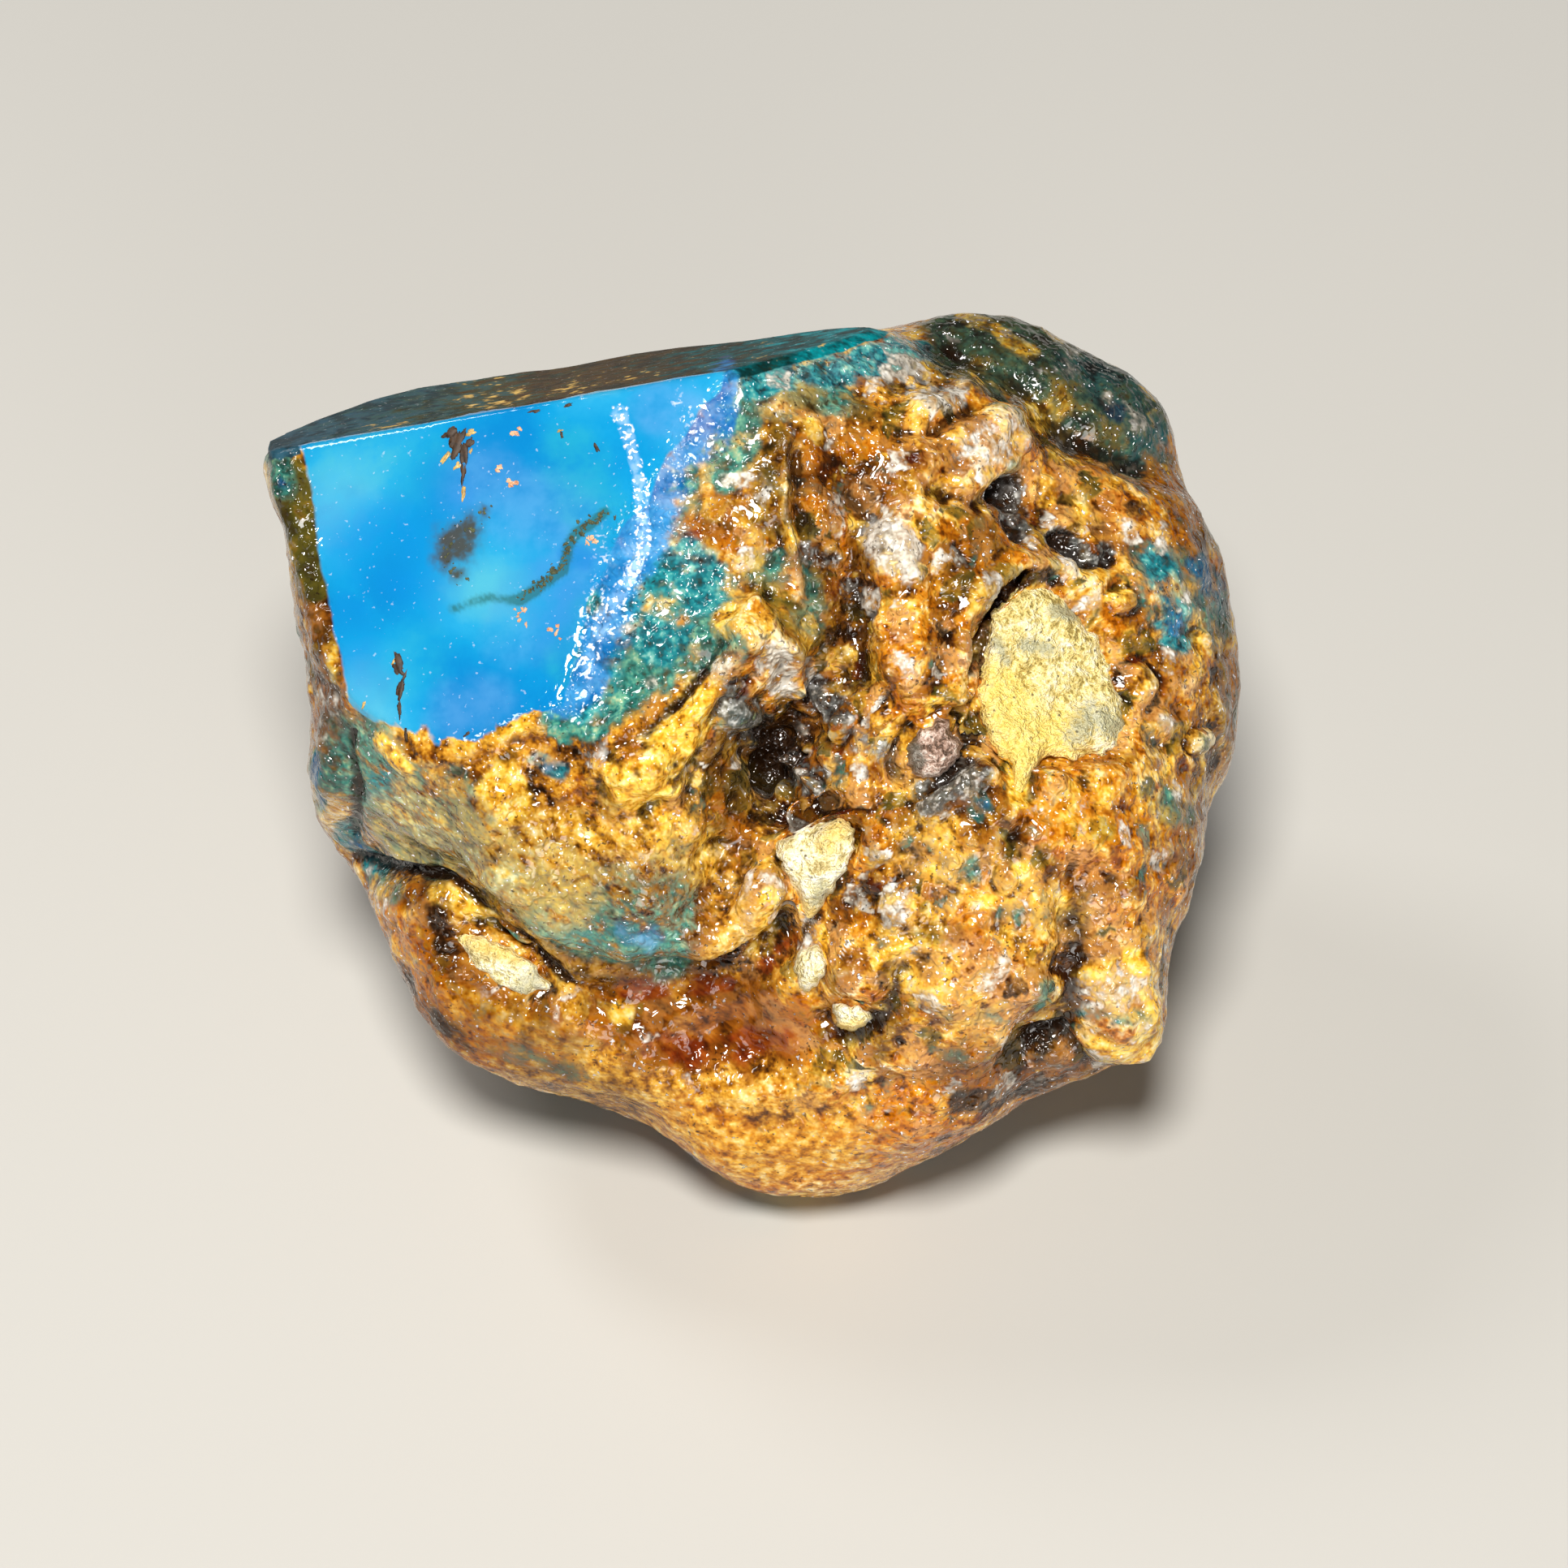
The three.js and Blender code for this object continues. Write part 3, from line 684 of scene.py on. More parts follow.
# Strokes of each colour: the line they follow in the picture, their half width in pixels, and how much of
# the crust they cover
STROKES = {
    "teal": [
        ([(780, 720), (820, 740), (860, 750)], 56, 0.9), ([(830, 750), (875, 790)], 36, 0.85),
        ([(760, 860), (800, 820), (830, 800)], 38, 0.9), ([(690, 885), (730, 885)], 28, 0.8),
        ([(900, 500), (960, 500), (1040, 490)], 24, 0.55), ([(925, 470), (918, 530), (890, 580)], 26, 0.8),
        ([(855, 560), (840, 610)], 28, 0.6), ([(440, 930), (490, 985), (560, 1040)], 50, 0.8),
        ([(662, 1115), (740, 1150), (829, 1176)], 34, 0.68),
        ([(620, 1075), (700, 1110), (780, 1130)], 40, 0.62),
        ([(820, 1050), (845, 1100), (840, 1150)], 30, 0.5),
        ([(540, 985), (640, 1050), (760, 1105)], 48, 0.44),
        ([(1190, 420), (1260, 440), (1330, 470), (1400, 530)], 60, 0.55),
        ([(1420, 700), (1480, 760)], 44, 0.5), ([(1479, 912)], 14, 0.6),
        ([(1440, 990), (1460, 1000)], 26, 0.55), ([(1196, 1050), (1200, 1085)], 11, 0.5),
        ([(1206, 994)], 18, 0.6), ([(1275, 1025)], 10, 0.5), ([(1335, 1244), (1405, 1248)], 9, 0.5),
        ([(1283, 1222)], 22, 0.7), ([(1150, 1295), (1190, 1305)], 11, 0.45),
        ([(1065, 1365), (1128, 1315)], 12, 0.4), ([(340, 562), (350, 600)], 16, 0.95),
        ([(425, 1030), (455, 1065)], 18, 0.8), ([(396, 925), (396, 990)], 10, 0.8),
        ([(460, 1085), (490, 1100)], 18, 0.5), ([(630, 1300), (720, 1320)], 16, 0.4),
        ([(930, 700), (990, 710), (1000, 760)], 24, 0.5), ([(900, 880), (940, 900)], 24, 0.5),
    ],
    "turquoise": [
        ([(930, 470), (1040, 448), (1130, 430)], 20, 1.0), ([(803, 470), (880, 458), (958, 452)], 14, 0.8),
        ([(745, 690), (770, 720), (740, 790), (715, 850)], 36, 0.95),
        ([(790, 650), (830, 690), (860, 720)], 40, 0.9), ([(765, 760), (820, 780)], 40, 0.8),
        ([(1330, 450), (1390, 500), (1420, 540)], 34, 0.5),
        ([(1425, 690), (1445, 740), (1455, 785)], 22, 0.85), ([(1480, 700), (1500, 740)], 18, 0.7),
        ([(1206, 994)], 18, 0.45), ([(425, 1030), (455, 1065)], 18, 0.8),
        ([(396, 925), (396, 990)], 10, 0.8), ([(470, 965), (550, 1035), (630, 1085)], 26, 0.58),
        ([(700, 1135), (790, 1160)], 24, 0.34), ([(660, 935), (692, 950)], 14, 0.6),
        ([(1330, 1250), (1370, 1252)], 8, 0.5),
    ],
    "moss": [
        ([(1170, 440), (1240, 450), (1300, 490)], 34, 0.8),
        ([(1200, 400), (1300, 440), (1380, 500)], 60, 0.75), ([(790, 830), (760, 875)], 26, 0.6),
        ([(980, 480), (1060, 500)], 24, 0.5), ([(960, 520), (930, 640)], 18, 0.5),
        ([(900, 920), (860, 1000)], 30, 0.4), ([(1440, 990)], 24, 0.5),
        ([(355, 585), (372, 650), (388, 720)], 22, 1.0), ([(935, 710), (1000, 790)], 26, 0.6),
    ],
    "blue": [
        ([(775, 1140), (800, 1150)], 20, 0.4), ([(440, 1045)], 18, 0.8), ([(350, 596)], 8, 0.9),
        ([(1375, 510)], 18, 0.5), ([(1442, 740), (1450, 775)], 12, 0.6),
        ([(1480, 700), (1495, 725)], 18, 0.6), ([(396, 925), (396, 985)], 7, 0.9), ([(676, 942)], 10, 0.5),
        ([(1210, 992)], 10, 0.5),
    ],
    "yellow": [
        ([(785, 960), (835, 915), (865, 870)], 36, 1.0), ([(890, 775), (910, 745)], 20, 0.6),
        ([(618, 965), (632, 990)], 24, 1.0), ([(575, 905), (640, 890)], 22, 0.6),
        ([(470, 912), (505, 945)], 9, 0.9), ([(768, 1248)], 16, 0.95),
        ([(930, 1165), (955, 1110)], 16, 0.7), ([(1100, 1108)], 18, 0.9), ([(1256, 1072)], 12, 0.9),
        ([(1217, 1112)], 14, 0.8), ([(1285, 1100), (1310, 1120)], 18, 0.7),
        ([(1400, 1180), (1414, 1250)], 13, 0.95), ([(1350, 1205), (1390, 1225)], 30, 0.6),
        ([(1412, 1265), (1390, 1288), (1345, 1292)], 16, 0.95),
        ([(1185, 390), (1225, 405), (1270, 440)], 9, 0.8), ([(1275, 500), (1310, 520)], 18, 0.6),
        ([(1200, 455), (1290, 480), (1380, 530)], 34, 0.28), ([(405, 840), (414, 780)], 7, 0.7),
        ([(545, 1100), (610, 1130)], 18, 0.7), ([(1085, 1180), (1125, 1162)], 5, 0.9),
        ([(940, 640), (925, 700)], 22, 0.5), ([(1495, 800), (1515, 790)], 10, 0.7),
        ([(1255, 945), (1256, 985)], 16, 0.9), ([(880, 1120), (910, 1060)], 16, 0.4),
        ([(820, 1385), (920, 1425), (1040, 1400)], 46, 0.45), ([(1120, 1180), (1200, 1240)], 60, 0.46),
        ([(1140, 1040), (1290, 1130)], 60, 0.42), ([(1300, 980), (1360, 1010)], 50, 0.4),
        ([(500, 1000), (600, 1060), (700, 1100)], 50, 0.5), ([(790, 1010), (860, 1050)], 44, 0.55),
        ([(560, 1235), (640, 1265), (720, 1300)], 24, 0.42),
    ],
    "orange": [
        ([(1300, 985), (1370, 1000), (1350, 1050)], 60, 0.8), ([(1115, 815)], 32, 0.95),
        ([(830, 1400), (950, 1440), (1080, 1400), (1180, 1320)], 50, 0.75),
        ([(480, 1150), (520, 1230), (600, 1290)], 44, 0.7), ([(1200, 1150), (1230, 1240)], 50, 0.5),
        ([(1440, 1100), (1460, 1000)], 30, 0.6), ([(1330, 600), (1400, 640)], 50, 0.4),
        ([(560, 1075), (600, 1090)], 14, 0.8),
    ],
    "brown": [
        ([(990, 560), (1040, 590), (1080, 580)], 44, 0.8), ([(1000, 690), (1020, 760)], 40, 0.55),
        ([(900, 950), (908, 1030), (892, 1085)], 22, 0.7), ([(835, 625), (870, 640), (935, 645)], 36, 0.8),
        ([(1200, 650), (1190, 700)], 30, 0.6),
        # Along the right flank the brown is partly painted shade
        ([(1430, 520), (1470, 660), (1530, 800), (1530, 900)], 22, 0.7),
        ([(780, 1190), (860, 1200)], 16, 0.6), ([(760, 1250), (830, 1265), (950, 1262)], 56, 0.85),
        ([(365, 640), (385, 690), (400, 780), (412, 860)], 20, 0.95), ([(405, 880), (420, 960)], 20, 0.8),
        ([(520, 1200), (600, 1250), (690, 1280)], 50, 0.75), ([(1200, 1290), (1250, 1330)], 30, 0.6),
        ([(530, 1100), (540, 1160)], 20, 0.75), ([(1200, 1340), (1290, 1330), (1350, 1300)], 22, 0.75),
        ([(1040, 800), (1020, 850)], 26, 0.55), ([(700, 995), (760, 1010)], 26, 0.4),
        ([(862, 1060), (872, 1120), (850, 1172)], 22, 0.65),
    ],
    "red": [
        ([(940, 1190), (974, 1158)], 9, 1.0), ([(770, 1218), (830, 1216), (890, 1210)], 12, 0.9),
        ([(800, 1290), (870, 1305), (960, 1290)], 20, 0.6), ([(855, 660)], 12, 0.7),
        ([(1010, 560), (1030, 575)], 20, 0.4), ([(1000, 920), (1030, 930)], 12, 0.6),
        ([(1230, 1130), (1260, 1140)], 14, 0.5), ([(845, 800), (880, 780)], 10, 0.5),
        ([(470, 965)], 10, 0.5),
    ],
    # The pink on the bulge and the middle right is partly painted sheen on the wet lumps
    "pink": [
        ([(1150, 1060), (1260, 1110)], 60, 0.5), ([(1180, 1190), (1220, 1230)], 60, 0.65),
        ([(1350, 1110), (1370, 1190)], 44, 0.55), ([(1150, 540), (1250, 590)], 60, 0.4),
        ([(1340, 610), (1380, 640)], 50, 0.4), ([(900, 810), (880, 830)], 14, 0.6),
    ],
    # Some pale strokes are painted highlights: glints at the top edge and on the right, and lit facets on
    # the upper block and beside the arm
    "pale": [
        ([(1140, 500), (1175, 490)], 16, 0.8), ([(1085, 655), (1115, 690)], 28, 0.85),
        ([(1200, 560), (1240, 540)], 30, 0.5), ([(945, 800), (960, 840)], 18, 0.85),
        ([(1035, 620)], 16, 0.6), ([(1100, 455), (1120, 450)], 13, 0.9), ([(1075, 760)], 11, 0.7),
        ([(1190, 970)], 20, 0.5), ([(1338, 1228), (1390, 1215)], 22, 0.55), ([(1010, 855)], 13, 0.7),
        ([(966, 936)], 8, 0.9), ([(986, 954)], 7, 0.8), ([(946, 962)], 7, 0.7), ([(975, 905)], 8, 0.8),
        ([(1432, 890)], 12, 0.6), ([(893, 590), (920, 590)], 9, 0.7), ([(800, 840)], 9, 0.6),
        ([(770, 770)], 12, 0.5),
    ],
    "slate": [
        ([(900, 865), (930, 895)], 26, 0.9), ([(1000, 850), (1032, 880)], 22, 0.8),
        ([(970, 940), (1000, 960)], 22, 0.7), ([(1040, 905), (1090, 925)], 20, 0.55),
        ([(1140, 985), (1200, 958)], 20, 0.8), ([(1248, 605), (1262, 640)], 20, 0.9),
        ([(1305, 662), (1340, 682), (1362, 680)], 13, 0.9), ([(1275, 1290), (1300, 1275)], 18, 0.6),
        ([(995, 680), (1030, 690)], 14, 0.6),
    ],
    # Most dark strokes are painted shade: in the cave, the pits, the fold, the grooves and the gap beside
    # the large clast
    "dark": [
        ([(950, 940), (958, 1000)], 30, 0.5), ([(956, 905), (962, 935)], 20, 0.85), ([(985, 900)], 26, 0.5),
        ([(1258, 640)], 16, 0.7), ([(1205, 830), (1215, 770), (1240, 725), (1290, 706)], 9, 0.9),
        ([(1125, 985), (1165, 960), (1190, 935)], 7, 0.7), ([(1283, 1290)], 22, 0.9),
        ([(482, 1062), (556, 1078), (605, 1115), (646, 1152), (678, 1185), (699, 1205)], 8, 0.9),
        ([(700, 1200), (765, 1208)], 12, 0.6), ([(538, 1120), (545, 1170)], 12, 0.75),
        ([(868, 828), (795, 905)], 8, 0.6), ([(975, 548), (972, 640)], 9, 0.6),
        ([(1008, 1128), (985, 1150)], 6, 0.85), ([(1180, 1360), (1300, 1345)], 14, 0.75),
        ([(655, 1231), (682, 1222)], 6, 0.8), ([(490, 1195), (525, 1245), (580, 1290)], 10, 0.55),
        ([(428, 905), (434, 960), (440, 1020)], 6, 0.65), ([(1239, 1015), (1255, 1051)], 8, 0.7),
    ],
    "shade": [
        ([(1190, 405), (1290, 430), (1390, 500)], 70, 1.0),
        ([(1430, 560), (1490, 660), (1525, 790), (1520, 920), (1470, 1050)], 34, 0.7),
        ([(985, 560), (1040, 600)], 46, 0.5), ([(1000, 690), (1040, 780), (1030, 840)], 34, 0.5),
        ([(905, 930), (903, 1020)], 24, 0.6), ([(530, 1090), (545, 1170), (600, 1240)], 30, 0.55),
        ([(700, 1215), (780, 1240)], 40, 0.35), ([(780, 800), (850, 800), (900, 700)], 40, 0.2),
        ([(1180, 1320), (1290, 1310), (1350, 1330)], 34, 0.6), ([(1205, 650), (1195, 720)], 34, 0.5),
        ([(340, 560), (365, 640), (385, 720), (400, 820), (400, 960)], 24, 0.6),
        ([(1060, 660), (1062, 830)], 18, 0.6), ([(1328, 1100), (1324, 1190), (1312, 1255)], 14, 0.85),
        ([(1015, 1278), (1060, 1282), (1100, 1240)], 14, 0.75), ([(640, 1330), (760, 1360)], 36, 0.4),
        ([(950, 900), (945, 990)], 36, 0.3), ([(945, 510), (950, 640)], 24, 0.45),
        ([(720, 1212), (830, 1222), (930, 1205)], 20, 0.4), ([(500, 1240), (600, 1300)], 30, 0.6),
        ([(600, 1010), (680, 1050), (760, 1090)], 60, 0.38),
        ([(1200, 900), (1190, 960), (1130, 1000)], 24, 0.4), ([(1420, 600), (1400, 560)], 30, 0.4),
        ([(1185, 990), (1238, 1012), (1252, 1050)], 13, 0.7),
        ([(1085, 1135), (1130, 1152), (1180, 1150)], 11, 0.65),
        ([(1098, 1195), (1108, 1250), (1085, 1295)], 11, 0.6),
        ([(1290, 1060), (1330, 1100), (1400, 1095)], 11, 0.55),
        ([(1060, 1010), (1085, 1060), (1060, 1120)], 12, 0.6),
    ],
    "violet": [
        ([(590, 600), (640, 620), (700, 640)], 46, 0.55), ([(680, 735), (715, 690)], 36, 0.55),
        ([(600, 872), (560, 880)], 34, 0.5), ([(640, 775), (700, 745)], 40, 0.45),
        ([(820, 505), (900, 540)], 34, 0.8),
    ],
    "cyan": [
        ([(420, 575), (520, 570)], 40, 0.5), ([(700, 560), (740, 640)], 38, 0.7),
        ([(580, 720), (620, 740)], 44, 0.4), ([(480, 830), (520, 800)], 36, 0.4),
        ([(700, 820), (730, 760)], 26, 0.8),
    ],
    "deep": [
        ([(430, 650), (520, 700)], 60, 0.6), ([(703, 682), (720, 690)], 14, 0.9),
        ([(420, 760), (450, 830)], 36, 0.6), ([(540, 590), (560, 620)], 30, 0.5),
        ([(660, 730), (700, 760)], 40, 0.5),
    ],
    "gold": [
        ([(590, 498), (635, 490)], 24, 1.0), ([(466, 535), (492, 528)], 14, 1.0),
        ([(690, 480), (800, 462)], 16, 0.5), ([(1020, 440), (1090, 436)], 14, 0.5),
    ],
    # Painted highlights: the glints and pale sheen along the bend at the window's right edge
    "band_glints": [
        ([(763, 508), (778, 549), (790, 610), (794, 675), (775, 715)], 10, 1.0),
        ([(775, 715), (740, 770), (724, 830)], 12, 0.7), ([(745, 650), (735, 720), (715, 780)], 18, 0.42),
        ([(835, 490), (850, 530), (840, 570)], 16, 0.42),
    ],
}

# How much of the hidden sides each colour covers
WILD_COVER = {
    "teal": 0.30, "turquoise": 0.22, "moss": 0.24, "blue": 0.08, "yellow": 0.26, "orange": 0.34,
    "brown": 0.36, "red": 0.16, "pink": 0.18, "pale": 0.14, "dark": 0.18,
}


def covered(strokes):
    """How far a set of strokes covers each vertex, fading out from their middle."""
    cover = np.zeros(len(base))
    for line, half_width, strength in strokes:
        distance = line_distance(seen, line) + ragged * 0.5 * half_width
        cover = np.maximum(cover, strength * np.exp(-((np.maximum(distance, 0) / half_width) ** 4) * 0.7))
    return cover * facing


masks = {name: covered(strokes) for name, strokes in STROKES.items()}
for number, (name, cover) in enumerate(WILD_COVER.items()):
    wild = 0.5 + 1.1 * layered(base + 40.0 * (number + 1), 8.0, 3, 0.6)
    masks[name] = np.maximum(masks[name], smoothstep(1 - cover, 1.25 - cover, wild) * 0.8 * behind)

# Each little lump of the rubble has a colour of its own: the share of lumps of each colour, and its cover
RUBBLE = [
    ("pale", 0.09, 0.55), ("teal", 0.06, 0.38), ("yellow", 0.08, 0.5), ("brown", 0.22, 0.6),
    ("red", 0.05, 0.5), ("orange", 0.18, 0.6), ("moss", 0.10, 0.55), ("dark", 0.03, 0.5),
    ("pink", 0.14, 0.6),
]
rubble = (1 - 0.8 * lobe) * (1 - 0.8 * belly) * (1 - waxy) * (1 - flats)
rubble *= 1 - about([[(345, 560), (372, 650), (395, 760)]], 34)
kind = (pebble_number * 5.7 + lump_number * 2.3) % 1
start = 0.0
for name, share, cover in RUBBLE:
    masks[name] = np.maximum(masks[name], cover * rubble * ((kind >= start) & (kind < start + share)))
    start += share

# Gold on the polished top lies in specks that are drawn out towards its back
TOP_BACKWARDS = np.array([0.0, 0.17, -0.985])
wobble = 0.4 * np.pad(wander, ((0, 0), (0, 1)))
drawn_back = base + wobble - 0.6 * np.outer(base @ TOP_BACKWARDS, TOP_BACKWARDS)
masks["gold"] = 0.43 + 0.5 * layered(drawn_back, 0.9, 3, 0.65) + 0.28 * masks["gold"]

# Broad brown and yellow parts
broad = layered(base + 300.0, 5.0, 3)
broad_brown = 0.5 * smoothstep(0.05, 0.4, broad) * (1 - 0.6 * belly)
broad_yellow = 0.42 * smoothstep(0.05, 0.4, -broad) * smoothstep(360, 400, seen[:, 0])
masks["brown"] = np.maximum(masks["brown"], broad_brown)
masks["yellow"] = np.maximum(masks["yellow"], broad_yellow)

# Where the polished faces are, and how rough, glossy, hollow or streaky the crust is
TOP_ENDS = (340, 1120)
masks["window"] = window
masks["top"] = top_face
masks["along_top"] = (seen[:, 0] - TOP_ENDS[0]) / (TOP_ENDS[1] - TOP_ENDS[0])
masks["margin"] = margin
calmed = np.max([0.6 * belly, 0.85 * red_hollow, 0.4 * waxy], axis=0)
masks["crust"] = (1 - np.maximum(window * (1 - 0.7 * margin), 0.7 * top_face)) * (1 - calmed)
dulled = [0.85 * smoothstep(0.3, 0.6, top_face), 0.7 * margin, 0.5 * waxy, 0.4 * belly]
masks["coat"] = 1 - np.max(dulled, axis=0)
masks["hollow"] = 0.5 + 0.5 * hollow * (1 - 0.85 * red_hollow)
masks["lobe"] = np.maximum(lobe, red_hollow)
masks["calm"] = np.max([0.55 * belly, 0.55 * red_hollow, 0.35 * lobe], axis=0)


# Sealed in the amber: where it shows in the picture and how far it reaches

# Large flecks: their middle, half length and half width in pixels, and their lean from level in degrees
DARK_FLECKS = [
    ((563, 545), 20, 9, 72), ((571, 558), 15, 6, 100), ((556, 532), 10, 6, 30), ((571, 582), 17, 3.5, 88),
    ((579, 545), 8, 5, 60), ((491, 820), 16, 7, 112), ((495, 846), 18, 5, 80), ((492, 874), 12, 2.2, 96),
    ((735, 552), 6, 2, 120), ((692, 536), 6, 2, 105),
    ((659, 507), 7, 2, 10), ((700, 499), 6, 2, 20), ((500, 905), 7, 2, 95), ((575, 905), 5, 2, 40),
]
GOLD_FLECKS = [
    ((580, 533), 7, 4, 20), ((549, 563), 10, 3.5, 60), ((571, 606), 9, 3, 86), ((564, 574), 7, 3.5, 45),
    ((485, 815), 5, 1.6, 70), ((580, 556), 4, 2, 80), ((690, 531), 4, 2, 20), ((448, 868), 5, 1.6, 70),
]
CRACK_LINE = [(640, 738), (668, 716), (688, 700), (702, 672), (716, 652), (752, 631)]
CRACK_SIDE = [(560, 752), (610, 738)] + CRACK_LINE
CLOUDS = [((562, 672), 28), ((578, 650), 20), ((552, 692), 20), ((594, 634), 12), ((568, 708), 14)]
COPPER_SPOTS = [
    ((641, 756), 13), ((686, 775), 8), ((614, 578), 4), ((632, 596), 5), ((636, 533), 4), ((728, 664), 8),
]

cloud = np.zeros(len(base))
for middle, radius in CLOUDS:
    distance = line_distance(wandering, [middle]) + 11 * ragged
    cloud = np.maximum(cloud, np.exp(-((distance / radius) ** 2)))
masks["cloud"] = cloud * window
masks["seam"] = np.exp(-((line_distance(seen + 14 * wander, CRACK_SIDE) / 5) ** 2))
masks["seam"] += np.exp(-((line_distance(seen + 16 * wander, CRACK_LINE) / 6) ** 2))
masks["seam"] *= window


# Materials


def amber_material():
    s = Shader("amber")
    wide = s.noise(0.17)
    swirl = s.noise(0.75, 3.0, 0.62)
    grain = s.noise(1.9, 2.0, 0.62)
    speckle = s.noise(5.0, 1.0, 0.5)
    fibres = s.noise(2.0, 2.0, 0.65, s.combed(STREAK, STREAK_STRETCH))
    fibres = s.maths("MULTIPLY_ADD", fibres, 1.2, -0.1)
    beading = s.noise(1.6)
    droplets = s.noise(3.4)
    lobe_mask = s.mask("lobe")
    hollow_mask = s.mask("hollow")
    against_swirl = s.maths("SUBTRACT", 1.0, swirl)
    against_grain = s.maths("SUBTRACT", 1.0, grain)
    mottle = s.between(s.mask("calm"), s.between(lobe_mask, swirl, fibres), 0.5)

    # Crust: ochre, with painted shade that turns it brown in the hollows and painted light that turns it
    # yellow on the ridges
    tone = s.total(0.52, (mottle, 1.2), (speckle, 0.35), (grain, 0.8), (wide, 0.4), (hollow_mask, 0.6))
    colour = s.ramp(tone, [
        (0.16, "160a03"), (0.90, "ffe8b4"), (0.30, "402208"), (0.41, "79480f"), (0.49, "a66c18"),
        (0.57, "c48a28"), (0.66, "dba640"), (0.76, "f0c670"),
    ])

    # Colours that lie in patches on the crust
    patches = [
        ("brown", mottle, [(0.32, "1e0c02"), (0.72, "b87c34"), (0.43, "502604"), (0.54, "8e4e10")]),
        ("orange", grain, [(0.30, "6a3202"), (0.74, "f6c05c"), (0.43, "b06006"), (0.56, "d88818")]),
        ("pink", against_grain, [(0.30, "7c4a1c"), (0.72, "f6dcb0"), (0.43, "b4783a"), (0.57, "dca868")]),
        ("red", mottle, [(0.34, "421204"), (0.70, "c07428"), (0.45, "6a2408"), (0.57, "964412")]),
        ("moss", against_swirl, [(0.33, "141c0c"), (0.70, "b09238"), (0.45, "363e16"), (0.56, "686220")]),
        ("teal", against_grain, [(0.30, "0a3432"), (0.74, "b4c89c"), (0.42, "165a54"), (0.52, "308076"),
                                 (0.62, "62a48a")]),
        ("turquoise", grain, [(0.30, "04343e"), (0.74, "94ccc0"), (0.42, "0a5a68"), (0.52, "1c808a"),
                              (0.62, "46a09e")]),
        ("blue", against_swirl, [(0.32, "041c38"), (0.74, "7cb0d8"), (0.45, "0c4676"), (0.58, "286ea4")]),
        ("yellow", grain, [(0.28, "90580a"), (0.74, "fff0b0"), (0.42, "dc9c20"), (0.55, "f8cc50")]),
        ("pale", against_grain, [(0.30, "50443a"), (0.72, "fbf8f0"), (0.43, "94887a"), (0.56, "d4ccbc")]),
        ("slate", grain, [(0.28, "06080a"), (0.76, "d4d4d0"), (0.44, "23282a"), (0.58, "626664")]),
        ("dark", speckle, [(0.32, "0a0502"), (0.74, "6a5440"), (0.48, "1c1008"), (0.60, "402818")]),
    ]
    for number, (name, shades, stops) in enumerate(patches):
        breaker = (mottle, against_grain, grain, against_swirl)[number % 4]
        if name in ("teal", "turquoise"):
            breaker = s.between(lobe_mask, against_swirl, fibres)
        colour = s.blend(s.broken(name, breaker, 3.0, 0.3, 0.92), colour, s.ramp(shades, stops))

    # Painted shade on the shaded parts and in the crevices, and dark grit
    shade = s.maths("MULTIPLY", s.mask("shade"), s.span(swirl, 0.62, 0.36, 0.48, 0.95))
    colour = s.blend(shade, colour, linear("1a0d04"))
    crevice_shade = s.span(s.total(hollow_mask, (grain, 0.6)), 0.16, 0.44, 0.8, 0.0)
    colour = s.blend(crevice_shade, colour, linear("1c0d04"))
    grit = s.span(s.total(speckle, (swirl, 0.4)), 0.66, 0.74, 0.0, 0.75)
    colour = s.blend(grit, colour, linear("20120a"))

    # Polished top: blue-grey, brown, then teal along it, with gold specks
    top = s.ramp(s.total(s.mask("along_top"), (swirl, 0.8), (grain, 0.3)), [
        (0.02, "2c5060"), (0.98, "0c8c94"), (0.26, "345250"), (0.36, "3c3c20"), (0.46, "4a300c"),
        (0.60, "3c2e10"), (0.70, "0e403e"), (0.84, "085a60"),
    ])
    gilt = s.total(s.mask("gold"), (grain, 0.8))
    top = s.blend(s.span(gilt, 0.52, 0.26, 0.0, 0.6), top, linear("0a0c0a"))
    gold = s.ramp(grain, [(0.35, "7a5418"), (0.65, "f0c468")])
    top = s.blend(s.span(gilt, 0.70, 0.90, 0.0, 0.95), top, gold)
    colour = s.blend(s.span(s.mask("top"), 0.4, 0.6), colour, top)

    # Polished window: blue with clouds of violet, cyan and deeper blue
    window_colour = s.ramp(s.total(0.5, (wide, 0.9), (swirl, 0.25)), [
        (0.26, "0882c6"), (0.76, "5cbcd8"), (0.42, "1096d0"), (0.56, "26a2d6"),
    ])
    for name, code in (("violet", "6aa2dc"), ("cyan", "2aa8bc"), ("deep", "0474cc")):
        share = s.maths("MULTIPLY", s.mask(name), s.span(swirl, 0.25, 0.70, 0.2, 0.7))
        window_colour = s.blend(share, window_colour, linear(code))
    window_colour = s.blend(s.broken("cloud", grain, 1.6, 0.4, 0.9), window_colour, linear("4a3e1c"))
    window_colour = s.blend(s.broken("seam", grain, 2.2, 0.5, 0.7), window_colour, linear("2a6258"))
    in_window = s.broken("window", against_swirl, 0.5, 0.2)
    margin_colour = s.ramp(swirl, [(0.34, "0a5ca4"), (0.66, "3e96d4")])
    colour = s.blend(s.broken("margin", grain, 2.2, 0.4, 0.85), colour, margin_colour)
    colour = s.blend(in_window, colour, window_colour)

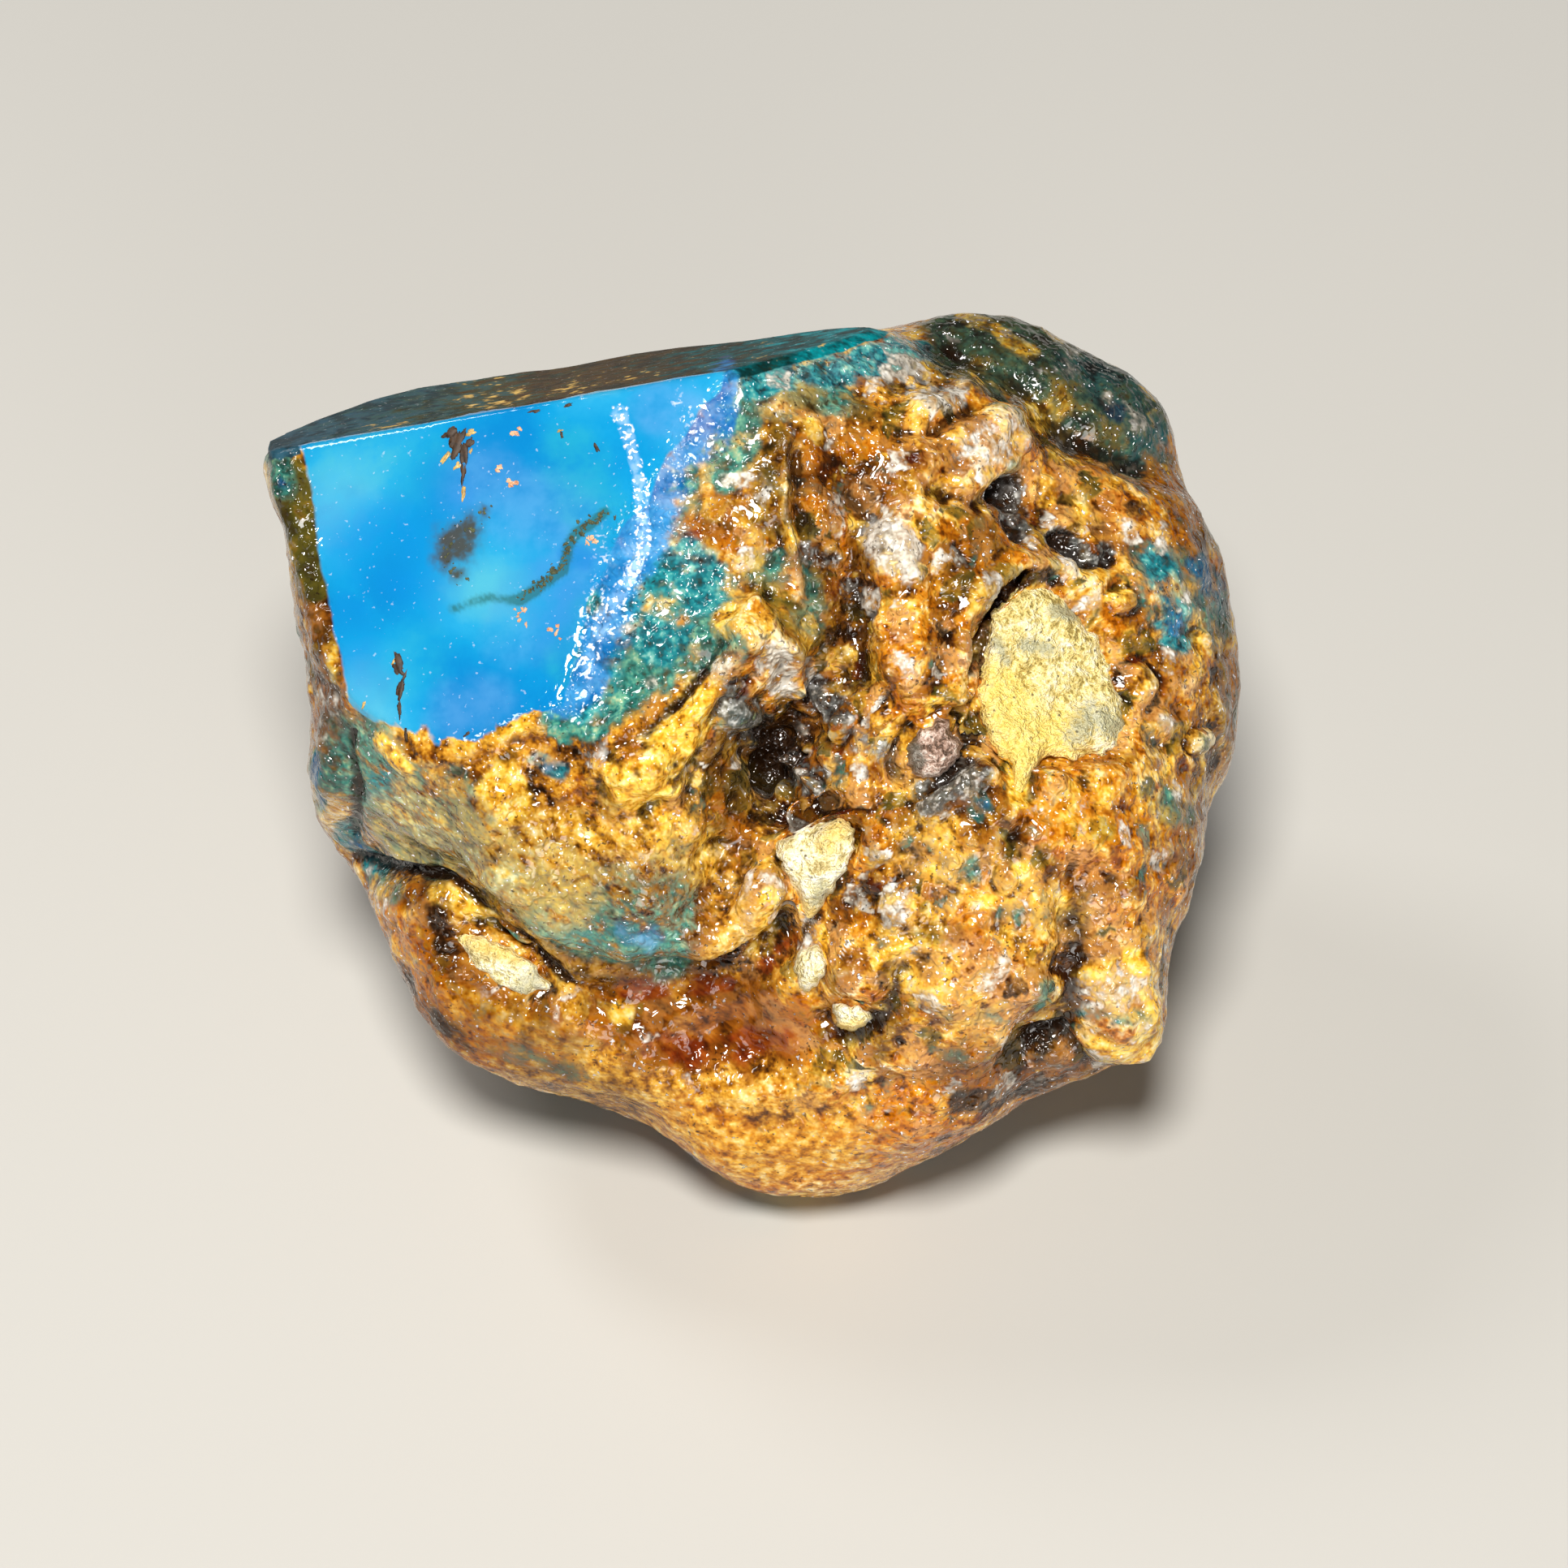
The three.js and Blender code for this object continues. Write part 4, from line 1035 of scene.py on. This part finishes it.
    # Painted highlights: a pale sheen and white glints along the window's bend, and white specks that are
    # dust on the window and painted glints on the crust
    painted_band_sheen = s.maths("MULTIPLY", s.span(s.mask("band_glints"), 0.45, 1.0), s.span(grain, 0.38, 0.62, 0.1, 0.6))
    colour = s.blend(painted_band_sheen, colour, linear("b4d8ff"))
    band_glints = s.maths("MULTIPLY", s.span(speckle, 0.55, 0.63), s.broken("band_glints", grain, 1.6, 0.2))
    dust_and_glints = s.maths("MULTIPLY", s.span(speckle, 0.67, 0.73, 0.0, 0.9), s.span(grain, 0.50, 0.56))
    dust_and_glints = s.maths("MULTIPLY", dust_and_glints, s.between(in_window, s.mask("crust"), 0.3))
    colour = s.blend(s.maths("MAXIMUM", band_glints, dust_and_glints), colour, linear("f8f8ff"))

    # Gloss: a wet film with droplets lies over the crust and the polished faces
    drops = s.span(droplets, 0.45, 0.72, -0.65, -0.25)
    height = s.maths("MULTIPLY", s.maths("MULTIPLY_ADD", beading, 0.8, drops), s.mask("crust"))
    film = s.bump(height, 0.25, 0.65)
    s.set(Base_Color=colour, Roughness=s.between(in_window, 0.5, 0.05), IOR=1.54, Normal=film)
    s.set(Specular_IOR_Level=0.0, Coat_Weight=s.mask("coat"), Coat_Roughness=0.07, Coat_Normal=film)
    s.set(Transmission_Weight=s.maths("MULTIPLY", in_window, 0.25))
    # The window glows faintly in its own blue: painted light, standing in for the blue amber's real
    # fluorescence
    s.set(Emission_Color=s.blend(in_window, linear("000000"), window_colour), Emission_Strength=0.10)
    s.material.cycles.emission_sampling = "NONE"
    depth = s.add("ShaderNodeVolumeAbsorption")
    depth.inputs["Color"].default_value = linear("4aa0e0")
    depth.inputs["Density"].default_value = 220.0
    s.tree.links.new(depth.outputs[0], s.output.inputs["Volume"])
    return s.material


def rock_material(name, stops, warm, stain):
    s = Shader(name)
    mid = s.noise(0.9, 3.0, 0.7, distortion=0.6)
    fine = s.noise(4.5, 2.0, 0.7)
    colour = s.ramp(s.total(0.5, (mid, 1.4), (fine, 1.2)), stops)
    colour = s.blend(s.broken("warm", mid, 1.6, 0.4, 0.7), colour, linear(warm))
    colour = s.blend(s.broken("stain", fine, 2.6, 0.4, 0.75), colour, linear(stain))
    dots = s.maths("MULTIPLY", s.span(s.cells(2.0), 0.08, 0.18, 1.0, 0.0), s.span(mid, 0.42, 0.52))
    colour = s.blend(s.maths("MULTIPLY", dots, 0.8), colour, linear("3a301c"))
    normal = s.bump(s.total(0.5, (fine, 1.0), (mid, 0.8)), 0.35, 0.9)
    s.set(Base_Color=colour, Roughness=s.span(mid, 0.3, 0.7, 0.45, 0.7), Normal=normal)
    s.set(Coat_Weight=0.3, Coat_Roughness=0.12, Coat_Normal=normal)
    return s.material


def grain_material(name, stops, roughness):
    s = Shader(name)
    colour = s.ramp(s.noise(3.0, 5.0, 0.7), stops)
    s.set(Base_Color=colour, Roughness=roughness)
    return s.material


nugget = make_piece("amber_stone", shape, nugget_quads, amber_material(), masks)
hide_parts("amber_nugget")


# Clasts of host rock

CREAM = [(0.22, "c0aa6c"), (0.80, "fffdec"), (0.38, "eedea0"), (0.52, "fcf2c8")]
SANDY = [(0.20, "a08840"), (0.80, "fcf4d8"), (0.36, "dcc474"), (0.52, "f2e09c")]
BROWN = [(0.26, "5a4232"), (0.74, "f0ded0"), (0.42, "987866"), (0.56, "c4a696")]
SANDSTONE = rock_material("speckled_sandstone", SANDY, "fcd864", "a4a68c")
CLAYSTONE = rock_material("pale_claystone", CREAM, "f2cc64", "b0ac88")
PEBBLE = rock_material("brown_rock", BROWN, "9a6a3c", "3c4438")

# The clasts: CAD node, material, record slot, how far they stand out and their unevenness in millimetres
CLASTS = [
    ("clast_large", SANDSTONE, "large_clast", 0.7, 0.55),
    ("clast_middle", CLAYSTONE, "pale_clasts", 0.45, 0.65),
    ("clast_in_fold", CLAYSTONE, "pale_clasts", 0.6, 0.5),
    ("clast_small", CLAYSTONE, "pale_clasts", 0.6, 0.4),
    ("clast_in_pit", CLAYSTONE, "pale_clasts", 0.55, 0.4),
    ("brown_pebble", PEBBLE, "brown_pebble", 0.9, 0.55),
]
CLAST_SINK = 0.35
CLAST_CHIPS = 26.0
CLAST_ROOT = 1.8
CLAST_STEP = 0.12


def rim_points(outline, count):
    """Pixels spread round an outline with its corners softened."""
    corners = np.array(outline, float)
    onward = np.roll(corners, -1, axis=0)
    near = 0.82 * corners + 0.18 * onward
    far = 0.18 * corners + 0.82 * onward
    corners = np.stack([near, far], axis=1).reshape(-1, 2)
    closed = np.concatenate([corners, corners[:1]])
    marks = np.concatenate([[0], np.cumsum(np.linalg.norm(np.diff(closed, axis=0), axis=1))])
    places = np.linspace(0, marks[-1], count, endpoint=False)
    rim = np.stack([np.interp(places, marks, closed[:, i]) for i in (0, 1)], axis=1)
    chips = layered(np.concatenate([rim, np.zeros((count, 1))], axis=1), 22, 3, 0.6)
    return rim + CLAST_CHIPS * chips[:, None] * (rim - rim.mean(axis=0)) / np.ptp(rim, axis=0).max()


def on_lie(pixels, lie):
    """Points that are seen at some pixels, on the lie of the crust there."""
    eye = eye_point()
    flat = (pixels - MIDDLE_PIXEL) * [PIXEL, -PIXEL]
    points = np.concatenate([flat, np.zeros((len(flat), 1))], axis=1)
    for _ in range(6):
        height = lie_terms(points) @ lie
        points[:, :2] = flat + (eye[:2] - flat) * (height / CAMERA_DISTANCE)[:, None]
        points[:, 2] = height
    return points


def clast_mesh(outline, lie, proud, unevenness):
    """A clast seated in the crust: a domed front inside its outline, and a root that narrows below."""
    corners = np.array(outline, float)
    radius = PIXEL * np.ptp(corners, axis=0).mean() / 2
    count = int(2 * math.pi * radius / CLAST_STEP)
    rings = int(radius / CLAST_STEP)
    rim = rim_points(outline, count)
    middle = rim.mean(axis=0)
    points = [on_lie(middle[None], lie) + [0.0, 0.0, proud]]
    for ring in range(1, rings + 1):
        share = ring / rings
        level = on_lie(middle + (rim - middle) * share, lie)
        level[:, 2] += proud * (1 - share**6) - CLAST_SINK * share**12
        points.append(level)
    for step in (0.4, 1.0):
        level = on_lie(middle + (rim - middle) * (1 - 0.35 * step), lie)
        level[:, 2] -= CLAST_ROOT * step
        points.append(level)
    points.append(on_lie(middle[None], lie) - [0.0, 0.0, 1.15 * CLAST_ROOT])
    points = np.concatenate(points)
    last = len(points) - 1
    around_ring = np.arange(count)
    onward = (around_ring + 1) % count
    faces = [[0, 1 + i, 1 + k] for i, k in zip(around_ring, onward)]
    for ring in range(rings + 1):
        inner = 1 + ring * count
        outer = inner + count
        faces += [[inner + i, outer + i, outer + k, inner + k] for i, k in zip(around_ring, onward)]
    foot = 1 + (rings + 1) * count
    faces += [[foot + i, last, foot + k] for i, k in zip(around_ring, onward)]
    front = np.zeros(len(points))
    front[: 1 + rings * count] = 1
    bumps = layered(points, 2.2, 4, 0.6) + 0.6 * (np.abs(layered(points + 9.0, 1.4, 3, 0.6)) - 0.2)
    chips, _, number = grains(points, 1.1)
    bumps -= 0.5 * np.exp(-((chips / 0.35) ** 2)) * (number < 0.2)
    points[:, 2] += front * unevenness * bumps
    return points, faces


# Marks on the clasts: the line they follow in the picture and their half width in pixels
CLAST_MARKS = {
    "warm": [
        ([(1230, 850), (1250, 920), (1300, 915)], 44), ([(1255, 940), (1254, 980)], 24),
        ([(1040, 1010), (1020, 1040)], 16), ([(975, 1115), (1000, 1125)], 12),
        ([(570, 1155), (640, 1180)], 12), ([(1035, 1265), (1060, 1262)], 8),
    ],
    "stain": [
        ([(1325, 905), (1345, 880), (1378, 895)], 18), ([(1264, 795), (1290, 800)], 11),
        ([(1300, 752), (1320, 758)], 11), ([(1228, 790), (1240, 815)], 8), ([(1005, 1110), (1015, 1090)], 9),
        ([(640, 1222), (660, 1205)], 14), ([(1120, 915), (1130, 940)], 12),
    ],
}


def clast_masks(points):
    """How far each mark covers a clast's vertices."""
    pixels = seen_at(points)
    shift = 0.4 * layered(points, 1.5, 4, 0.6)
    marks = {}
    for mark, strokes in CLAST_MARKS.items():
        nearest = np.stack([line_distance(pixels, line) / width + shift for line, width in strokes])
        marks[mark] = np.exp(-(nearest**2)).max(axis=0)
    return marks


for name, material, slot, proud, unevenness in CLASTS:
    lie = clast_lies[name] + [clast_lifts[name], 0, 0, 0, 0, 0]
    points, faces = clast_mesh(CLAST_OUTLINES[name], lie, proud, unevenness)
    piece = make_piece(name + "_rock", points, faces, material, clast_masks(points))
    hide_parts(name)


# Sealed in the amber

FLAKE_HALF = 0.06
FLAKE_SUNK = 0.025


def flakes(name, material, spots):
    """Thin ragged flakes that the polished window cuts through, as one piece. Each spot is its middle, half
    length and half width in pixels, and its lean from level in degrees."""
    unit, loops = rounded_cube(6)
    sideways = np.cross([0.0, 1.0, 0.0], WINDOW_FACES)
    sideways /= np.linalg.norm(sideways)
    upwards = np.cross(WINDOW_FACES, sideways)
    points = []
    quads = []
    for number, (pixel, half_length, half_width, lean) in enumerate(spots):
        at = on_plane(pixel, WINDOW_FACES, WINDOW_POINT)
        turn = math.radians(lean)
        long_way = math.cos(turn) * sideways + math.sin(turn) * upwards
        cross_way = np.cross(WINDOW_FACES, long_way)
        thickness = WINDOW_FACES * FLAKE_HALF
        halves = np.stack([long_way * half_length * PIXEL, cross_way * half_width * PIXEL, thickness])
        torn = unit * (1 + 0.9 * layered(unit + 5.7 * number, 0.8, 3, 0.6)[:, None])
        points.append(torn @ halves + at - WINDOW_FACES * FLAKE_SUNK)
        quads.append(loops + number * len(unit))
    return make_piece(name, np.concatenate(points), np.concatenate(quads), material)


def scattered(pixels, sizes):
    """Flakes of random size and lean at some pixels, with half lengths in pixels."""
    spots = []
    for pixel in pixels:
        half_length = RANDOM.uniform(*sizes)
        spots.append((pixel, half_length, half_length * RANDOM.uniform(0.3, 0.9), RANDOM.uniform(0, 180)))
    return spots


def along(line, count, spread):
    """Pixels scattered along a line."""
    corners = np.array(line, float)
    lengths = np.linalg.norm(np.diff(corners, axis=0), axis=1)
    marks = np.concatenate([[0], np.cumsum(lengths)])
    places = np.sort(RANDOM.uniform(0, marks[-1], count))
    centres = np.stack([np.interp(places, marks, corners[:, i]) for i in (0, 1)], axis=1)
    return centres + RANDOM.normal(scale=spread, size=centres.shape)


def around(spots, per_spot):
    """Pixels scattered about spots."""
    return np.concatenate([
        np.array(middle) + RANDOM.normal(scale=radius * 0.5, size=(per_spot, 2)) for middle, radius in spots
    ])


FLECK = grain_material("dark_fleck", [(0.3, "080504"), (0.7, "4a3014")], 0.6)
DEBRIS = grain_material("olive_debris", [(0.3, "161a12"), (0.7, "5c6038")], 0.7)
COPPER = grain_material("copper_speck", [(0.3, "b0683c"), (0.7, "f0c49c")], 0.4)
GOLD = grain_material("gold_bit", [(0.3, "7a5a24"), (0.7, "dcb86a")], 0.4)

flakes("sealed_flecks", FLECK, DARK_FLECKS)
flakes("sealed_gold_bits", GOLD, GOLD_FLECKS)
flakes("sealed_crack_debris", DEBRIS, scattered(along(CRACK_LINE, 100, 3.4), (1.0, 3.8)))
flakes("sealed_cloud_flecks", DEBRIS, scattered(around(CLOUDS, 7), (1.0, 3.2)))
flakes("sealed_copper_specks", COPPER, scattered(around(COPPER_SPOTS, 8), (1.5, 4.5)))


# Stage

# The point of the display face's frame that the lights are aimed at
LIGHTS_AIM = np.array([0.0, 0.0, 4.0])


def area_light(name, towards, distance_mm, size_mm, power, tint):
    """A soft box in a direction of the display face's frame, aimed at the stone."""
    light = bpy.data.lights.new(name, "AREA")
    light.shape = "DISK"
    light.size = size_mm * MM
    light.energy = power
    light.color = tint
    lamp = bpy.data.objects.new(name, light)
    way = np.array(towards) / np.linalg.norm(towards)
    lamp.location = to_world(LIGHTS_AIM + way * distance_mm)
    aim = Vector(to_world(LIGHTS_AIM)) - lamp.location
    lamp.rotation_euler = aim.to_track_quat("-Z", "Y").to_euler()
    bpy.context.scene.collection.objects.link(lamp)


area_light("key", (-0.05, 0.30, 0.95), 460, 130, 3.0, (1.0, 0.97, 0.92))
area_light("back", (-0.55, 0.80, 0.25), 420, 120, 0.5, (1.0, 1.0, 1.0))
area_light("fill", (0.30, -0.60, 0.74), 520, 260, 1.1, (1.0, 0.98, 0.95))

world = bpy.data.worlds.new("studio")
world.use_nodes = True
world.node_tree.nodes["Background"].inputs["Color"].default_value = (0.85, 0.92, 1.0, 1.0)
world.node_tree.nodes["Background"].inputs["Strength"].default_value = 0.04
bpy.context.scene.world = world
bpy.context.scene.view_settings.view_transform = "Standard"

# The floor, with half its side in metres
floor_shader = Shader("pale_floor")
floor_shader.set(Base_Color=linear("bdbbb6"), Roughness=0.6)
FLOOR_HALF = 1.5
FLOOR_CORNERS = [(-1, -1), (1, -1), (1, 1), (-1, 1)]
floor_mesh = bpy.data.meshes.new("floor")
floor_mesh.from_pydata([(x * FLOOR_HALF, y * FLOOR_HALF, 0) for x, y in FLOOR_CORNERS], [], [(0, 1, 2, 3)])
floor_mesh.materials.append(floor_shader.material)
floor = bpy.data.objects.new("floor", floor_mesh)
bpy.context.scene.collection.objects.link(floor)

camera = bpy.data.objects.new("camera", bpy.data.cameras.new("camera"))
camera.data.sensor_width = SENSOR
camera.data.lens = SENSOR * CAMERA_DISTANCE / (PICTURE * PIXEL)
camera.data.clip_start = 0.01
camera.location = to_world(eye_point())
camera.rotation_euler = (LEAN, 0.0, 0.0)
bpy.context.scene.collection.objects.link(camera)
bpy.context.scene.camera = camera
